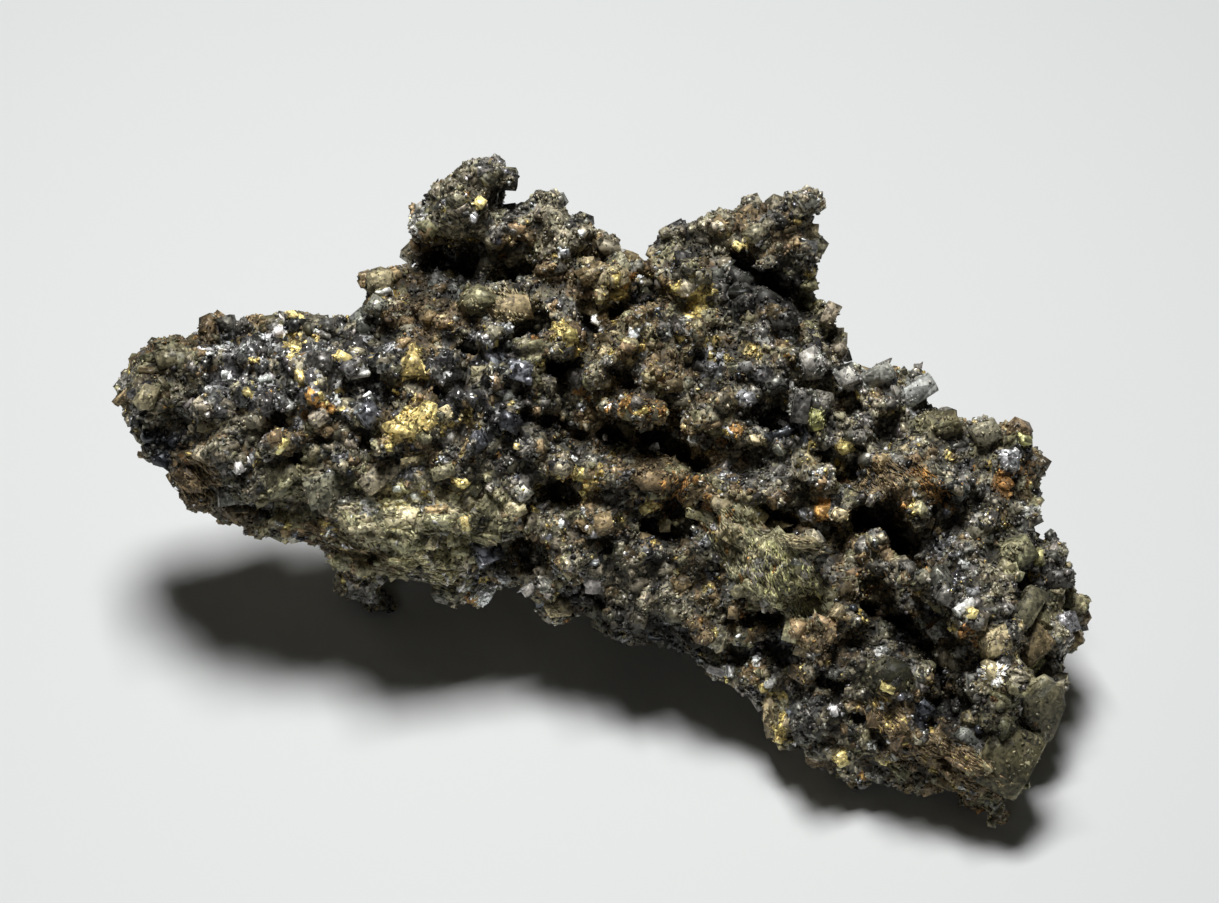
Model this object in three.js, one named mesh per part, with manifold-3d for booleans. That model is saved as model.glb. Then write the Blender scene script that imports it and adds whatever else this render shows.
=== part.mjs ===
// A hand specimen of freibergite ore: one rough plate of grown-together sulphide lumps and crystals.
// Units are millimetres, +Z is up, and the specimen rests on the plane z = 0.
//
// The display face leans back by FACE_TILT. Places on it are given as seen from EYE_DISTANCE straight in
// front of it: across to the right, up the face, and out towards the eye.
import * as THREE from "three";
import { ConvexGeometry } from "three/addons/geometries/ConvexGeometry.js";
import { mergeVertices } from "three/addons/utils/BufferGeometryUtils.js";
import Module from "manifold-3d";

// Driving dimensions
const EYE_DISTANCE = 254;
const FACE_TILT = THREE.MathUtils.degToRad(47);
const FACE_HEIGHT = 26;
const LUMP_DEPTH_RATIO = 1.5;
const MOST_LUMP_DEPTH = 4.5;
const GROUND_SIZE = 200;

// How angular the shapes are
const MASS_CORNERS = 12;
const LARGE_LUMP_CORNERS = 9;
const SMALL_LUMP_CORNERS = 8;
const LARGE_LUMP_AREA = 6;
const CORNER_ROUGHNESS = 0.2;
const CORNER_DRIFT = 0.7;
const BLOCK_LOOSENESS = 0.2;

// Corners nearer than this are one corner
const CORNER_MERGE = 1e-4;

// How a place on the face becomes the seed of its lump
const SEED_BASE = 1e6;
const SEED_PER_ACROSS = 1000;
const SEED_PER_UP = 37;

// The middle and the directions of the display face
const FACE_ORIGIN = new THREE.Vector3(0, 0, FACE_HEIGHT);
const ACROSS = new THREE.Vector3(1, 0, 0);
const UP = new THREE.Vector3(0, Math.sin(FACE_TILT), Math.cos(FACE_TILT));
const OUT = new THREE.Vector3(0, -Math.cos(FACE_TILT), Math.sin(FACE_TILT));

// Matrix masses behind the crust: across, up, out, half width, half height, half depth
const MASSES = [
  [-43.4, 4.6, -6.5, 4.6, 5.6, 5.5],
  [-36, 4.2, -6.5, 8, 8.6, 7.5],
  [-27, 3, -7, 9, 10, 8.5],
  [-30, -3, -7.5, 8, 5.5, 6],
  [-19, 1.5, -7.5, 9.5, 13, 9],
  [-24, -8.6, -13, 3, 5.2, 9],
  [-14, -8.5, -8.5, 6.5, 6, 7],
  [-10, 3, -8.5, 10, 13, 10],
  [0, 5, -10.5, 10.5, 13, 11],
  [3, -7, -9.5, 11, 10.5, 10],
  [12, 8, -10.5, 11, 11, 11],
  [14, -9, -7.5, 11.5, 11.5, 10],
  [-15, 12, -9.5, 8.5, 6, 8],
  [-3.4, 15, -9.5, 6.2, 6.4, 7],
  [-6.5, 20.5, -6.5, 4.5, 3, 4],
  [-13.6, 19.6, -6.5, 2.2, 5, 4],
  [-16.2, 18.5, -14, 3.3, 3.8, 5],
  [-10.5, 18.5, -11, 3, 3.2, 4],
  [6.8, 18.6, -9, 3.4, 3, 5],
  [14.5, 18.5, -9.5, 6.5, 6.5, 6],
  [22, -2, -8.5, 9.5, 9.5, 9],
  [31, -3.4, -7.5, 9.5, 6.8, 9],
  [26.5, 4.5, -7, 4.5, 3, 4.5],
  [36.8, -5, -7.5, 5, 7.2, 7],
  [22, -16, -6, 10, 11, 8],
  [35, -15, -6, 9.5, 9.5, 8],
  [27, -25, -2, 9, 7.5, 7.5],
  [36, -25.5, -0.5, 4.6, 8.6, 7],
  [18, -25, -3, 3.5, 4.5, 4],
];

// Broken matrix of the back and the underside: x, y, z, half sizes
const BACK = [
  [10, 14, 10, 13, 11, 12],
  [-5, 10, 11, 9, 9, 11],
  [23, 6, 7, 11, 9, 8],
  [29, -11, 6, 11, 9, 7],
  [4, 17, 20, 11, 8, 9],
  [-14, 12, 22, 9, 7, 7],
  [-19, 11, 8.5, 8, 5.5, 9.5],
  [15, 21, 25, 6, 5, 8],
];

// Lumps of the crust: across, up, how far out the front comes, half width, half height, twist in degrees
const LEFT_LOBE = [
  [-46.6, 6, -1.5, 1.8, 2.6, 0],
  [-43, 9.2, 0, 3.2, 2.4, 15],
  [-43.8, 5, 2, 3.6, 3.4, 0],
  [-44.4, 0.2, -1, 1.8, 2.1, 0],
  [-46.6, 3.3, -2, 1.3, 1.6, 0],
  [-40.6, -2.3, 1, 2.7, 3.2, -15],
  [-36.6, -6, -2.5, 1.7, 1.9, 20],
  [-40.8, -4.6, -0.5, 1.8, 1.4, -10],
  [-38, -4.2, -1, 2, 1.6, 0],
  [-38.4, 12.2, -1.5, 1.5, 1.5, 0],
  [-35.2, 12, -1, 1.8, 1.4, 0],
  [-32.6, 12, -0.5, 1.7, 1.5, 0],
  [-30.4, 12.8, -0.5, 1.6, 1.6, 0],
  [-27.4, 11.9, -0.5, 2.2, 1.5, 0],
  [-24, 12.2, -1, 2.2, 2, 0],
  [-22.7, 16.8, -1.5, 1.9, 1.8, 0],
  [-22.8, 14.6, -3.5, 1.9, 1.8, 0],
  [-39.6, 8.4, 2.5, 2.8, 2.4, 0],
  [-34.2, 8.8, 3, 3.2, 2.5, 0],
  [-29.3, 9, 3.5, 2.7, 2.3, 0],
  [-25.4, 8.6, 3.5, 2.3, 2.5, 0],
  [-38.4, 4.2, 4, 3.2, 2.5, 0],
  [-33.2, 4.6, 4.5, 3.2, 2.7, 0],
  [-28.4, 5, 4.5, 2.7, 2.5, 0],
  [-24.3, 3.6, 5, 2.3, 1.8, 0],
  [-38, 0, 4, 3.4, 2.5, 0],
  [-35.4, -3, 3, 2.9, 2.3, 0],
  [-32, 0.8, 4.5, 3.4, 2.3, 0],
  [-27, 0.8, 4, 2.9, 1.7, 35],
  [-31.8, -3.2, 3, 4.5, 1.7, 30],
  [-21, 8.2, 4.5, 2.3, 2.9, 0],
  [-18.4, 3, 6, 3.4, 2.7, 20],
  [-21.6, 1, 6, 1.9, 1.4, 0],
];
const OLIVE_BAND = [
  [-32.4, -7.2, -0.5, 3.9, 1.5, -8],
  [-26.2, -4.6, 2.5, 5.2, 3.6, 5],
  [-27.6, -8.2, 0, 3.8, 1.5, -18],
  [-27.2, -10.3, -4, 1.5, 1.4, 0],
  [-20.8, -7.4, 3, 5.2, 3.8, -12],
  [-24, -7.2, 4.5, 1.9, 1.7, 0],
  [-15.8, -5.6, 3, 4.1, 3.4, 0],
  [-17.6, -11, 0.5, 4.2, 2.4, -8],
  [-22.6, -11.2, -1, 3.4, 1.6, -14],
  [-24, -1.6, 3.5, 4.1, 2.1, 0],
  [-17, -1.6, 4, 3.6, 2.3, 10],
];
const LEFT_FOOT = [
  [-24.2, -12.6, -15, 2.7, 3, 0],
  [-22.8, -13.8, -16, 1.6, 1.8, 0],
];
const LOWER_LEDGE = [
  [-15.9, -13.9, -4.5, 1.7, 1, 0],
  [-13.2, -14, -4.5, 2.1, 1.7, 10],
  [-9.2, -11.2, -2.5, 2.3, 1.9, 0],
  [-6.6, -13.4, -2, 2, 2.2, 0],
  [-4.9, -15.6, -4.5, 2.2, 1.9, 0],
  [1.8, -17, -3.5, 3.6, 1.8, 0],
  [6.8, -18.2, -1, 2.8, 1.7, -35],
];
const LEFT_HORN = [
  [-17.8, 22.4, -0.5, 2.5, 2.4, 0],
  [-15.2, 24.4, 1.5, 2.9, 2.6, 0],
  [-12.6, 25, 0.5, 2, 2.8, 0],
  [-12.5, 27.1, 0.5, 2.3, 1.8, 0],
  [-10.4, 27, 0, 1.9, 1.1, -30],
  [-14.2, 22.2, 1.5, 2.3, 1.8, 0],
  [-18.6, 20, -6.5, 1.3, 1.4, 0],
  [-16.9, 16.6, -2.5, 2.6, 1.6, 0],
  [-20.2, 16.9, -3.5, 1.4, 1.3, 0],
  [-6, 23.2, -1.5, 2.3, 2.6, 0],
  [-4, 21.5, -0.5, 2.3, 2.3, 0],
  [-9.6, 21.8, -1.5, 2.4, 2.3, 0],
  [-5.6, 17.6, -0.5, 2.7, 2, 0],
];
const CENTRE_TOP = [
  [-20.4, 13.6, 0.5, 3, 1.7, 0],
  [-15.6, 12.2, 1.5, 2.9, 2.1, 0],
  [-11.6, 11.2, 3, 2.1, 1.7, 0],
  [-16.6, 8.4, 3.5, 2.9, 2.5, 0],
  [-11.4, 7.4, 4, 2.7, 2.5, 0],
  [-14.2, 4.8, 4, 2.7, 2, 0],
  [-10.2, 3.4, 3.5, 2.5, 2, 0],
  [-6.6, 4.6, 3, 2.3, 2, 0],
  [-13, 0.4, 4.5, 3.2, 2.1, 0],
  [-8, 0, 3.5, 2.7, 2.4, 0],
  [-14.2, -2.8, 4, 2.5, 1.7, 0],
  [-9.6, -3.2, 3, 3.4, 2.1, 0],
  [-10.8, -7.2, 2.5, 3.4, 2.4, 0],
  [-4.6, -1.6, 4, 2.3, 2.1, 0],
  [-0.6, 16.6, 1, 3, 2.5, 25],
  [-5.2, 14.2, -0.5, 2.9, 1.7, 0],
  [-4.6, 10.9, 3, 2.4, 2.6, 0],
  [2.4, 18.1, -1, 1.8, 1.6, 0],
  [6.2, 18.8, -1.5, 2.6, 1.9, 0],
  [2.6, 12.6, 2.5, 3.8, 2.6, 20],
  [0.8, 9.2, 3.5, 3.4, 1.8, 20],
  [7.4, 16, 1.5, 3.4, 2.8, 0],
  [7.9, 11.2, 2.5, 2, 2.5, 0],
  [5, 7.6, 3, 2.9, 1.9, 0],
  [2.4, 4.2, 5.5, 4.4, 1.8, 0],
  [-1.6, 7.4, 2, 2.7, 1.6, 0],
];
const RIGHT_HORN = [
  [7, 21.2, -3, 2.3, 1.6, 18],
  [10.9, 22.2, -2, 2.2, 2, 15],
  [15.2, 22, -1.5, 2.9, 1.8, 20],
  [18.6, 23.8, -2, 2.1, 2, 0],
  [18.9, 20.2, -2.5, 1.9, 2, 0],
  [14.8, 19.2, -1.5, 3.2, 1.8, 0],
  [18.8, 16.6, -4.5, 1.7, 1.7, 0],
  [19, 18.6, -3.5, 1.9, 1.9, 0],
  [12.6, 14.6, -0.5, 2.4, 2.1, 0],
  [16, 13, 0.5, 2.2, 1.8, 0],
  [20.6, 13.4, -6, 1.8, 2.2, 0],
  [22.2, 10.2, -7, 1.5, 1.9, 0],
  [18.8, 11.4, -1, 2.1, 2.3, 0],
  [13.4, 7.4, 2.5, 2.3, 1.9, 0],
  [20.2, 8.3, 0.5, 2.3, 2.3, 0],
  [16.2, 6, 1, 1.8, 2, 0],
  [11.4, 4.6, 3.5, 3.2, 2, 0],
  [13, 1.6, 3, 2.6, 1.7, 0],
  [8.8, 2.4, 3, 2.3, 1.8, 0],
  [17, 0.6, 3.5, 2.9, 1.6, -10],
];
const RIGHT_LOBE = [
  [23.8, 7.4, -0.5, 1.5, 1.5, 0],
  [26.8, 4.9, 0, 2.6, 1.6, 0],
  [29.6, 3.5, -1.5, 2.2, 1.7, -10],
  [32.4, 3.1, -1, 2.4, 1.7, -15],
  [36.9, 1.6, -1.5, 1.8, 1.3, 0],
  [39.8, 1.3, -2, 1.5, 1.8, 0],
  [41.4, -1.6, -2.5, 1.7, 2.4, 0],
  [38, -1.6, 0.5, 2.6, 2.1, 0],
  [40.3, -5.6, -0.5, 1.9, 2.2, 0],
  [28.4, -2, 4, 4.3, 2.6, -15],
  [24.2, 1.6, 3, 2.5, 2.1, 0],
  [20.6, 2.4, 3.5, 2.1, 1.9, 0],
  [20, -2, 4, 2.7, 2.1, 0],
  [16.2, -3.6, 4, 2.7, 1.9, 0],
  [21.6, -5.4, 3.5, 2.5, 1.8, 0],
  [25, -4.2, 3.5, 2.3, 1.8, 0],
  [25.6, -9.3, 4, 2.1, 2.3, 0],
  [30, -6.2, 3, 2.4, 2, 0],
  [33.4, -4.2, 3, 1.9, 1.9, 0],
  [36.4, -7.2, 2, 2.7, 2.3, 0],
  [40.6, -9.6, 1.5, 2.6, 2.4, 0],
  [43.2, -9.4, -1.5, 1.1, 1.7, 0],
  [43.4, -12, -2, 2, 1.8, 0],
  [34.2, -9.8, 3, 2.3, 2, 0],
  [30.4, -9.8, 1.5, 1.9, 1.5, 0],
  [28.6, -12, 7, 2.1, 1.9, 0],
  [23.8, -12.4, 4, 2.7, 1.9, 0],
  [32, -13.6, 8, 4.1, 2.1, -15],
  [37.6, -13, 6.5, 2.5, 2.3, 0],
  [42, -14, 1, 2.5, 2.3, 0],
  [45.2, -15.4, -2.5, 2, 2.2, -20],
  [44.8, -18.2, -3, 1.4, 1.7, 0],
  [38.2, -18.4, 8, 2.5, 3.3, 0],
  [42.6, -18.6, 1, 2.2, 2.4, 0],
  [34.8, -17, 8, 2.3, 1.8, 0],
  [43.2, -21.4, -1, 1.7, 1.8, 0],
  [39.6, -22.4, 8.5, 2.5, 2, 0],
  [42, -25.2, 1, 1.9, 2, 0],
  [35, -30, 7.5, 3.4, 2.9, -20],
  [35.6, -33.8, 2.5, 2.6, 1.7, -25],
  [37.9, -35.2, 2.5, 1.1, 1.6, 0],
];
const CENTRE_FRONT = [
  [17.2, -11.8, 8, 4.5, 4.1, -25],
  [19, -9.2, 9, 2.7, 1.6, -15],
  [12.6, -7.6, 4, 3.4, 2.6, 0],
  [11.8, -4.4, 3.5, 2.7, 1.6, 0],
  [3.8, -2.6, 4, 3.8, 2.5, 0],
  [8.2, -3.6, 3.5, 2.5, 1.9, 0],
  [-0.8, -2.4, 3.5, 2.5, 2.1, 0],
  [-1.2, -6.8, 2.5, 3.6, 2, 0],
  [-5.4, -7.4, 2.5, 2.1, 2.1, 0],
  [-3.2, -10.6, 2.5, 2.9, 2.4, 0],
  [3, -9.9, 2.5, 3.2, 2.5, 0],
  [7.8, -10.6, 2.5, 2.5, 2.4, 0],
  [7, -14.4, 2, 3.2, 2.3, 0],
  [12.6, -13.9, 3.5, 2.9, 2.1, 0],
  [9.8, -17.8, 1, 3.2, 1.8, -15],
  [14.2, -17.6, 2, 2.7, 1.9, 0],
  [10.6, -20.6, -0.5, 2.8, 1.6, -28],
  [13.4, -22.4, 0, 2.3, 1.6, -30],
  [15.4, -21.4, 1.5, 2.9, 2.1, 0],
  [19.6, -17.6, 6.5, 2.7, 2.1, 0],
  [23.6, -16.2, 7, 2.7, 1.8, -20],
  [20.2, -21.6, 6, 2.7, 2.1, 0],
  [16.6, -26.3, 2, 1.6, 3.2, 5],
  [19.8, -26.2, 6, 2.1, 2.9, 0],
  [24.2, -20, 7, 2.9, 1.8, -15],
  [28.6, -22.4, 8.5, 3.3, 2.6, 0],
  [28, -26.8, 7, 2.6, 2.5, -30],
  [22.6, -30, 2.5, 2.8, 1.8, -35],
  [24.6, -31.4, 1.5, 2.4, 1.5, 0],
  [29, -31.6, 1.5, 2.1, 1.7, 0],
  [31.2, -28.6, 7, 2.6, 2, 0],
  [32, -32.2, 2, 1.5, 1.3, 0],
];

const CRUST = [
  LEFT_LOBE,
  OLIVE_BAND,
  LEFT_FOOT,
  LOWER_LEDGE,
  LEFT_HORN,
  CENTRE_TOP,
  RIGHT_HORN,
  RIGHT_LOBE,
  CENTRE_FRONT,
];

// Blocks with flat cleaved sides: across, up, out, half width, half height, half depth, twist
const BLOCKS = [
  [-10.9, 15, -1.6, 3.2, 1.7, 2.4, 3],
  [-7.6, 8.5, 0.8, 0.8, 3.1, 2.2, 22],
  [-0.3, 20.4, -5, 1.3, 1.1, 2, 2],
  [19.9, 24.7, -3, 1.15, 1, 1.6, 8],
  [26.8, 7.6, -4, 1.5, 1.1, 1.8, -3],
  [29.9, 6.7, -5, 2, 1.2, 1.4, 25],
  [19.6, 4.2, 0.4, 2, 1.5, 2, -5],
  [39, -29.5, 1.6, 2.1, 3.8, 2.4, -19],
];

const wasm = await Module();
wasm.setup();

// A repeatable stream of numbers from 0 to 1
function makeRandom(seed) {
  let state = seed >>> 0;
  return () => {
    state = (state + 0x6d2b79f5) >>> 0;
    let mixed = Math.imul(state ^ (state >>> 15), state | 1);
    mixed ^= mixed + Math.imul(mixed ^ (mixed >>> 7), mixed | 61);
    return ((mixed ^ (mixed >>> 14)) >>> 0) / 4294967296;
  };
}

// The stream that belongs to one place, so that a change to one lump leaves the others as they are
function randomAt(x, y) {
  return makeRandom(Math.round(SEED_BASE + SEED_PER_ACROSS * x + SEED_PER_UP * y));
}

// The matrix that sets a shape on the display face, twisted about the line of sight
function onFace(across, up, out, twist = 0) {
  const spread = 1 - out / EYE_DISTANCE;
  const centre = FACE_ORIGIN.clone()
    .addScaledVector(ACROSS, across * spread)
    .addScaledVector(UP, up * spread)
    .addScaledVector(OUT, out);
  const turn = new THREE.Matrix4().makeRotationZ(THREE.MathUtils.degToRad(twist));
  return new THREE.Matrix4().makeBasis(ACROSS, UP, OUT).setPosition(centre).multiply(turn);
}

// The corners of a rough lump: points spread over a ball, pushed in a little, then fitted to its half sizes
function lumpCorners(half, count, random) {
  const goldenAngle = Math.PI * (3 - Math.sqrt(5));
  const turn = () => random() * 2 * Math.PI;
  const spin = new THREE.Euler(turn(), turn(), turn());
  const corners = [];
  for (let i = 0; i < count; i++) {
    const height = 1 - (2 * (i + 0.5)) / count;
    const radius = Math.sqrt(1 - height * height);
    const angle = i * goldenAngle + random() * CORNER_DRIFT;
    const reach = 1 - random() * CORNER_ROUGHNESS;
    const corner = new THREE.Vector3(radius * Math.cos(angle), radius * Math.sin(angle), height);
    corners.push(corner.applyEuler(spin).multiplyScalar(reach));
  }
  const box = new THREE.Box3().setFromPoints(corners);
  const fit = half.clone().multiplyScalar(2).divide(box.getSize(new THREE.Vector3()));
  const middle = box.getCenter(new THREE.Vector3());
  return corners.map((corner) => corner.sub(middle).multiply(fit));
}

// The corners of a block, each moved in a little so that no two sides are quite square
function blockCorners(half, random) {
  const corners = [];
  for (const x of [-1, 1])
    for (const y of [-1, 1])
      for (const z of [-1, 1]) {
        const shrink = () => 1 - random() * BLOCK_LOOSENESS;
        corners.push(new THREE.Vector3(x * shrink(), y * shrink(), z * shrink()).multiply(half));
      }
  return corners;
}

// A closed solid from a geometry
function solidOf(geometry) {
  const bare = geometry.clone();
  bare.deleteAttribute("normal");
  bare.deleteAttribute("uv");
  const merged = mergeVertices(bare, CORNER_MERGE);
  return new wasm.Manifold(
    new wasm.Mesh({
      numProp: 3,
      vertProperties: new Float32Array(merged.attributes.position.array),
      triVerts: new Uint32Array(merged.index.array),
    }),
  );
}

// The convex solid round some corners, set in place
function hullSolid(corners, place) {
  return solidOf(new ConvexGeometry(corners.map((corner) => corner.applyMatrix4(place))));
}

function faceMasses() {
  return MASSES.map(([across, up, out, wide, high, deep]) => {
    const corners = lumpCorners(new THREE.Vector3(wide, high, deep), MASS_CORNERS, randomAt(across, up));
    return hullSolid(corners, onFace(across, up, out));
  });
}

function backMasses() {
  return BACK.map(([x, y, z, halfX, halfY, halfZ]) => {
    const corners = lumpCorners(new THREE.Vector3(halfX, halfY, halfZ), MASS_CORNERS, randomAt(x, y));
    return hullSolid(corners, new THREE.Matrix4().makeTranslation(x, y, z));
  });
}

function crustLumps(region) {
  return region.map(([across, up, front, wide, high, twist]) => {
    const deep = Math.min(MOST_LUMP_DEPTH, LUMP_DEPTH_RATIO * Math.max(wide, high));
    const count = wide * high > LARGE_LUMP_AREA ? LARGE_LUMP_CORNERS : SMALL_LUMP_CORNERS;
    const corners = lumpCorners(new THREE.Vector3(wide, high, deep), count, randomAt(across, up));
    return hullSolid(corners, onFace(across, up, front - deep, twist));
  });
}

function cleavedBlocks() {
  return BLOCKS.map(([across, up, out, wide, high, deep, twist]) => {
    const corners = blockCorners(new THREE.Vector3(wide, high, deep), randomAt(across, up));
    return hullSolid(corners, onFace(across, up, out, twist));
  });
}

// The outer skin of a mesh: the connected triangles that reach its first corner along x,
// which leaves out any small pocket sealed inside
function outerSkin(positions, triangles) {
  const group = Array.from({ length: positions.length / 3 }, (_, corner) => corner);
  const leader = (corner) => {
    while (group[corner] !== corner) {
      group[corner] = group[group[corner]];
      corner = group[corner];
    }
    return corner;
  };
  for (let i = 0; i < triangles.length; i += 3) {
    group[leader(triangles[i + 1])] = leader(triangles[i]);
    group[leader(triangles[i + 2])] = leader(triangles[i]);
  }
  let first = 0;
  for (let corner = 0; corner < group.length; corner++)
    if (positions[3 * corner] < positions[3 * first]) first = corner;
  const skin = [];
  for (let i = 0; i < triangles.length; i += 3)
    if (leader(triangles[i]) === leader(first)) skin.push(...triangles.subarray(i, i + 3));
  return skin;
}

// One grown-together rock, with its feet flat where they meet the ground
function rockGeometry() {
  const pieces = [...faceMasses(), ...backMasses(), ...CRUST.flatMap(crustLumps), ...cleavedBlocks()];
  const ground = new THREE.BoxGeometry(GROUND_SIZE, GROUND_SIZE, GROUND_SIZE);
  ground.translate(0, 0, -GROUND_SIZE / 2);
  const rock = wasm.Manifold.union(pieces).subtract(solidOf(ground)).getMesh();

  const geometry = new THREE.BufferGeometry();
  geometry.setAttribute("position", new THREE.BufferAttribute(rock.vertProperties, 3));
  geometry.setIndex(outerSkin(rock.vertProperties, rock.triVerts));
  geometry.computeBoundingBox();
  const middle = geometry.boundingBox.getCenter(new THREE.Vector3());
  geometry.translate(-middle.x, -middle.y, 0);
  geometry.computeVertexNormals();
  return geometry;
}

const ORE_COLOR = 0x4a4640;
const ORE_ROUGHNESS = 0.5;
const ORE_METALNESS = 0.5;

const ore = new THREE.MeshStandardMaterial({
  color: ORE_COLOR,
  roughness: ORE_ROUGHNESS,
  metalness: ORE_METALNESS,
});
const specimen = new THREE.Mesh(rockGeometry(), ore);
specimen.name = "freibergite_specimen";

const part = new THREE.Group();
part.add(specimen);
export default part;
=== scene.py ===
# A hand specimen of freibergite ore, standing on a pale floor.
# The rock is shaped in millimetres, and its pieces are written out in metres.
import math
from collections import namedtuple

import bmesh
import bpy
import numpy as np
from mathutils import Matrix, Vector
from mathutils.bvhtree import BVHTree


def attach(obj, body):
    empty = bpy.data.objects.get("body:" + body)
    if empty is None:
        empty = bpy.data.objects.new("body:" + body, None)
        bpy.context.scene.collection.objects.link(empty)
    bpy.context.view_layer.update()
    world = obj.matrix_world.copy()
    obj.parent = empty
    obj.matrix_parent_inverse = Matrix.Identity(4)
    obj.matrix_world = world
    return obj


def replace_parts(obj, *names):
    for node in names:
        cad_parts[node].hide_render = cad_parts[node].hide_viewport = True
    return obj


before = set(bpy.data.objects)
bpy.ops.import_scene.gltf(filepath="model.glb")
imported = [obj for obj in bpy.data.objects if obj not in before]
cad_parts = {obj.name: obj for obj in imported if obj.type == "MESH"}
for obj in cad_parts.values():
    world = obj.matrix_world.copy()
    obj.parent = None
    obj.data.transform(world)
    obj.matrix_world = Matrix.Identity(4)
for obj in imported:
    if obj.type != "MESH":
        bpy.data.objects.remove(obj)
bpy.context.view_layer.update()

NODE = "freibergite_specimen"
BODY = "root"
MILLIMETRE = 0.001
rng = np.random.default_rng(1947)

# The corners of a cube that reaches from -1 to 1
CUBE = np.array([(x, y, z) for x in (-1, 1) for y in (-1, 1) for z in (-1, 1)], dtype=float)

# The display face and the eye in front of it
FACE_ORIGIN = np.array((0.437, -0.467, 26.0))
FACE_TILT = math.radians(47)
EYE_DISTANCE = 254.3
ACROSS = np.array((1.0, 0.0, 0.0))
UP = np.array((0.0, math.sin(FACE_TILT), math.cos(FACE_TILT)))
OUT = np.array((0.0, -math.cos(FACE_TILT), math.sin(FACE_TILT)))
EYE = FACE_ORIGIN + OUT * EYE_DISTANCE

# The photograph's view
PHOTO_WIDTH = 1219
FOCAL_LENGTH_IN_PIXELS = 2600
SENSOR_WIDTH = 36.0
NEAR_AND_FAR = (0.01, 10)

# The core and the skin, in millimetres
CORE_VOXEL = 0.6
CORE_SHRINK = 0.35
SMOOTHING = 0.5
FILL_STEPS = 80
MOUND_SIZE = 3.2
MOUND_HEIGHT = 0.22
HIGHEST_MOUND = 0.5
UNION_VOXEL = 0.33
SKIN_SHRINK = 0.10
SKIN_RELIEF = 0.12
SKIN_FACET_SIZE = 0.8
SKIN_TRIANGLES = 130_000
GROUND_CLEARANCE = 0.02

# Where the right side starts, which normals face the front, and how far corners reach in half sizes
RIGHT_SIDE_FROM = 6.0
FRONT_FROM = -0.1
CORNER_REACH = 1.3

# Lumps: smaller ones are more common, and those in the smoother patches are laid flat
LUMP_COUNT = 16_500
LUMP_FRONT_BOOST = 1.35
LUMP_RADIUS = (0.40, 1.6)
LUMP_UNEVENNESS = (0.4, 1.1)
LUMP_SINK = (0.45, 0.95)
SMALLER_IS_COMMONER = 2.5
FINE_FACTOR = 0.55
COARSE_LIMIT = 1.3
LAID_FROM = 0.25
LAID_SIZES = (1.7, 0.9, 0.5)
LAID_SPREAD = 0.25
GROUP_SIZE = 1.7
GROUPED_SHARE = 0.6
GROUP_CONTRAST = 0.75
CRYSTAL_SHARE = 0.7

# Lighter and darker lumps: a tone of 0 is a mineral's dark colour, 1 its light one
MEAN_TONE = 0.40
TONE_CLOUD = 0.26
TONE_CLOUD_SIZE = 2.2
TONE_SPREAD = 0.11
TONE_LIMITS = (0.03, 0.9)
# Painted shade: lumps are darker the deeper they sit in a crevice
PAINTED_CREVICE_SHADE = 0.7
DEPTH_OF_DARKEST_PAINTED_SHADE = 2.5
TINT_SPREAD = (0.96, 1.04)
LIMIT_OF_EVEN_FACETS = 0.6

# Painted shade in the skin's hollows and painted light on its edges, painted shade in its gaps, and its tones
HOLLOW_STEPS = 12
PAINTED_HOLLOW_DEPTH = 0.35
PAINTED_HOLLOW_SHADES = (0.3, 1.45)
EVENNESS_OF_SMOOTH = 0.5
# Painted shade: the skin is darkest in deep gaps between lumps and a little darker elsewhere
GAP_DISTANCE = 0.3
PAINTED_GAP_SHADE = 0.45
PAINTED_SKIN_SHADE = 0.9
SKIN_TONE_SPREAD = 0.12
SKIN_TONE_LIMITS = (0.02, 1.0)
SKIN_METAL = 0.5
SKIN_ROUGHER_BY = 0.15

# Grains on the lumps, mostly of the mineral under them, some of them chips that lie flat
GRAIN_COUNT = 41_500
GRAIN_FRONT_BOOST = 2.9
BARENESS_OF_SMOOTH = 0.85
GRAIN_OFFSET = (-0.65, 0.25)
GRAIN_UNEVENNESS = (0.7, 1.25)
GRAIN_TONES = (0.04, 0.30)
EVENNESS_OF_GRAINS = 0.9
LIMIT_OF_EVEN_GRAINS = 0.7
REDRAWN_SHARE = 0.5
PLATE_SHARE = 0.15
CHIP_SHARE = 0.6
CHIP_SIZES = (1.3, 1.3, 0.55)
CHIP_TILT = 0.5

# Splinters, whose length is a share of the one in their row
FIBRE_WIDTH = (0.12, 0.26)
FIBRE_LENGTHS = (0.5, 1.1)
FIBRE_TILT = 0.2
FIBRE_TONES = (0.42, 0.78)
FIBRE_FLATNESS = 0.6

# Edges of the patches on the display face
PATCH_WARP_SIZE = 1.6
PATCH_WARP = 0.5
LEAST_PATCH_DEPTH = 1.5
PATCH_DEPTH_RATIO = 1.2
PATCH_FULLNESS = 3.0
PATCH_FALL = 2.6

# How the crevices are carved
CREVICE_STEPS = 8
CREVICE_WIDTH = 0.75
CREVICE_UNEVENNESS = 0.4
CREVICE_NOISE_SIZE = 1.8
CREVICE_EDGE = 1.5
CREVICE_REACH = 4

# Single crystals: how smooth each shape stays, how deep it sits and how far it is turned
SMOOTHNESS = {"ball": 0.0, "block": 0.15, "slab": 0.4, "wedge": 0.3, "crystal": 0.9, "rod": 1.0}
FEATURE_SINK = 0.45
FEATURE_LIFT = 0.2
FEATURE_TURN = 0.2
FEATURE_MARGIN = 0.2
HIDDEN_LUMP_FACTOR = 0.4

# Floor, lights and the finish of the minerals
FLOOR_HALF_SIZE = 3
FLOOR_COLOUR = (0.70, 0.715, 0.71, 1)
FLOOR_ROUGHNESS = 0.6
LIGHT_AIM = (0, 0, 15)
WORLD_COLOUR = (0.006, 0.006, 0.006, 1)
BUMP_HEIGHT = 0.1

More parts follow.
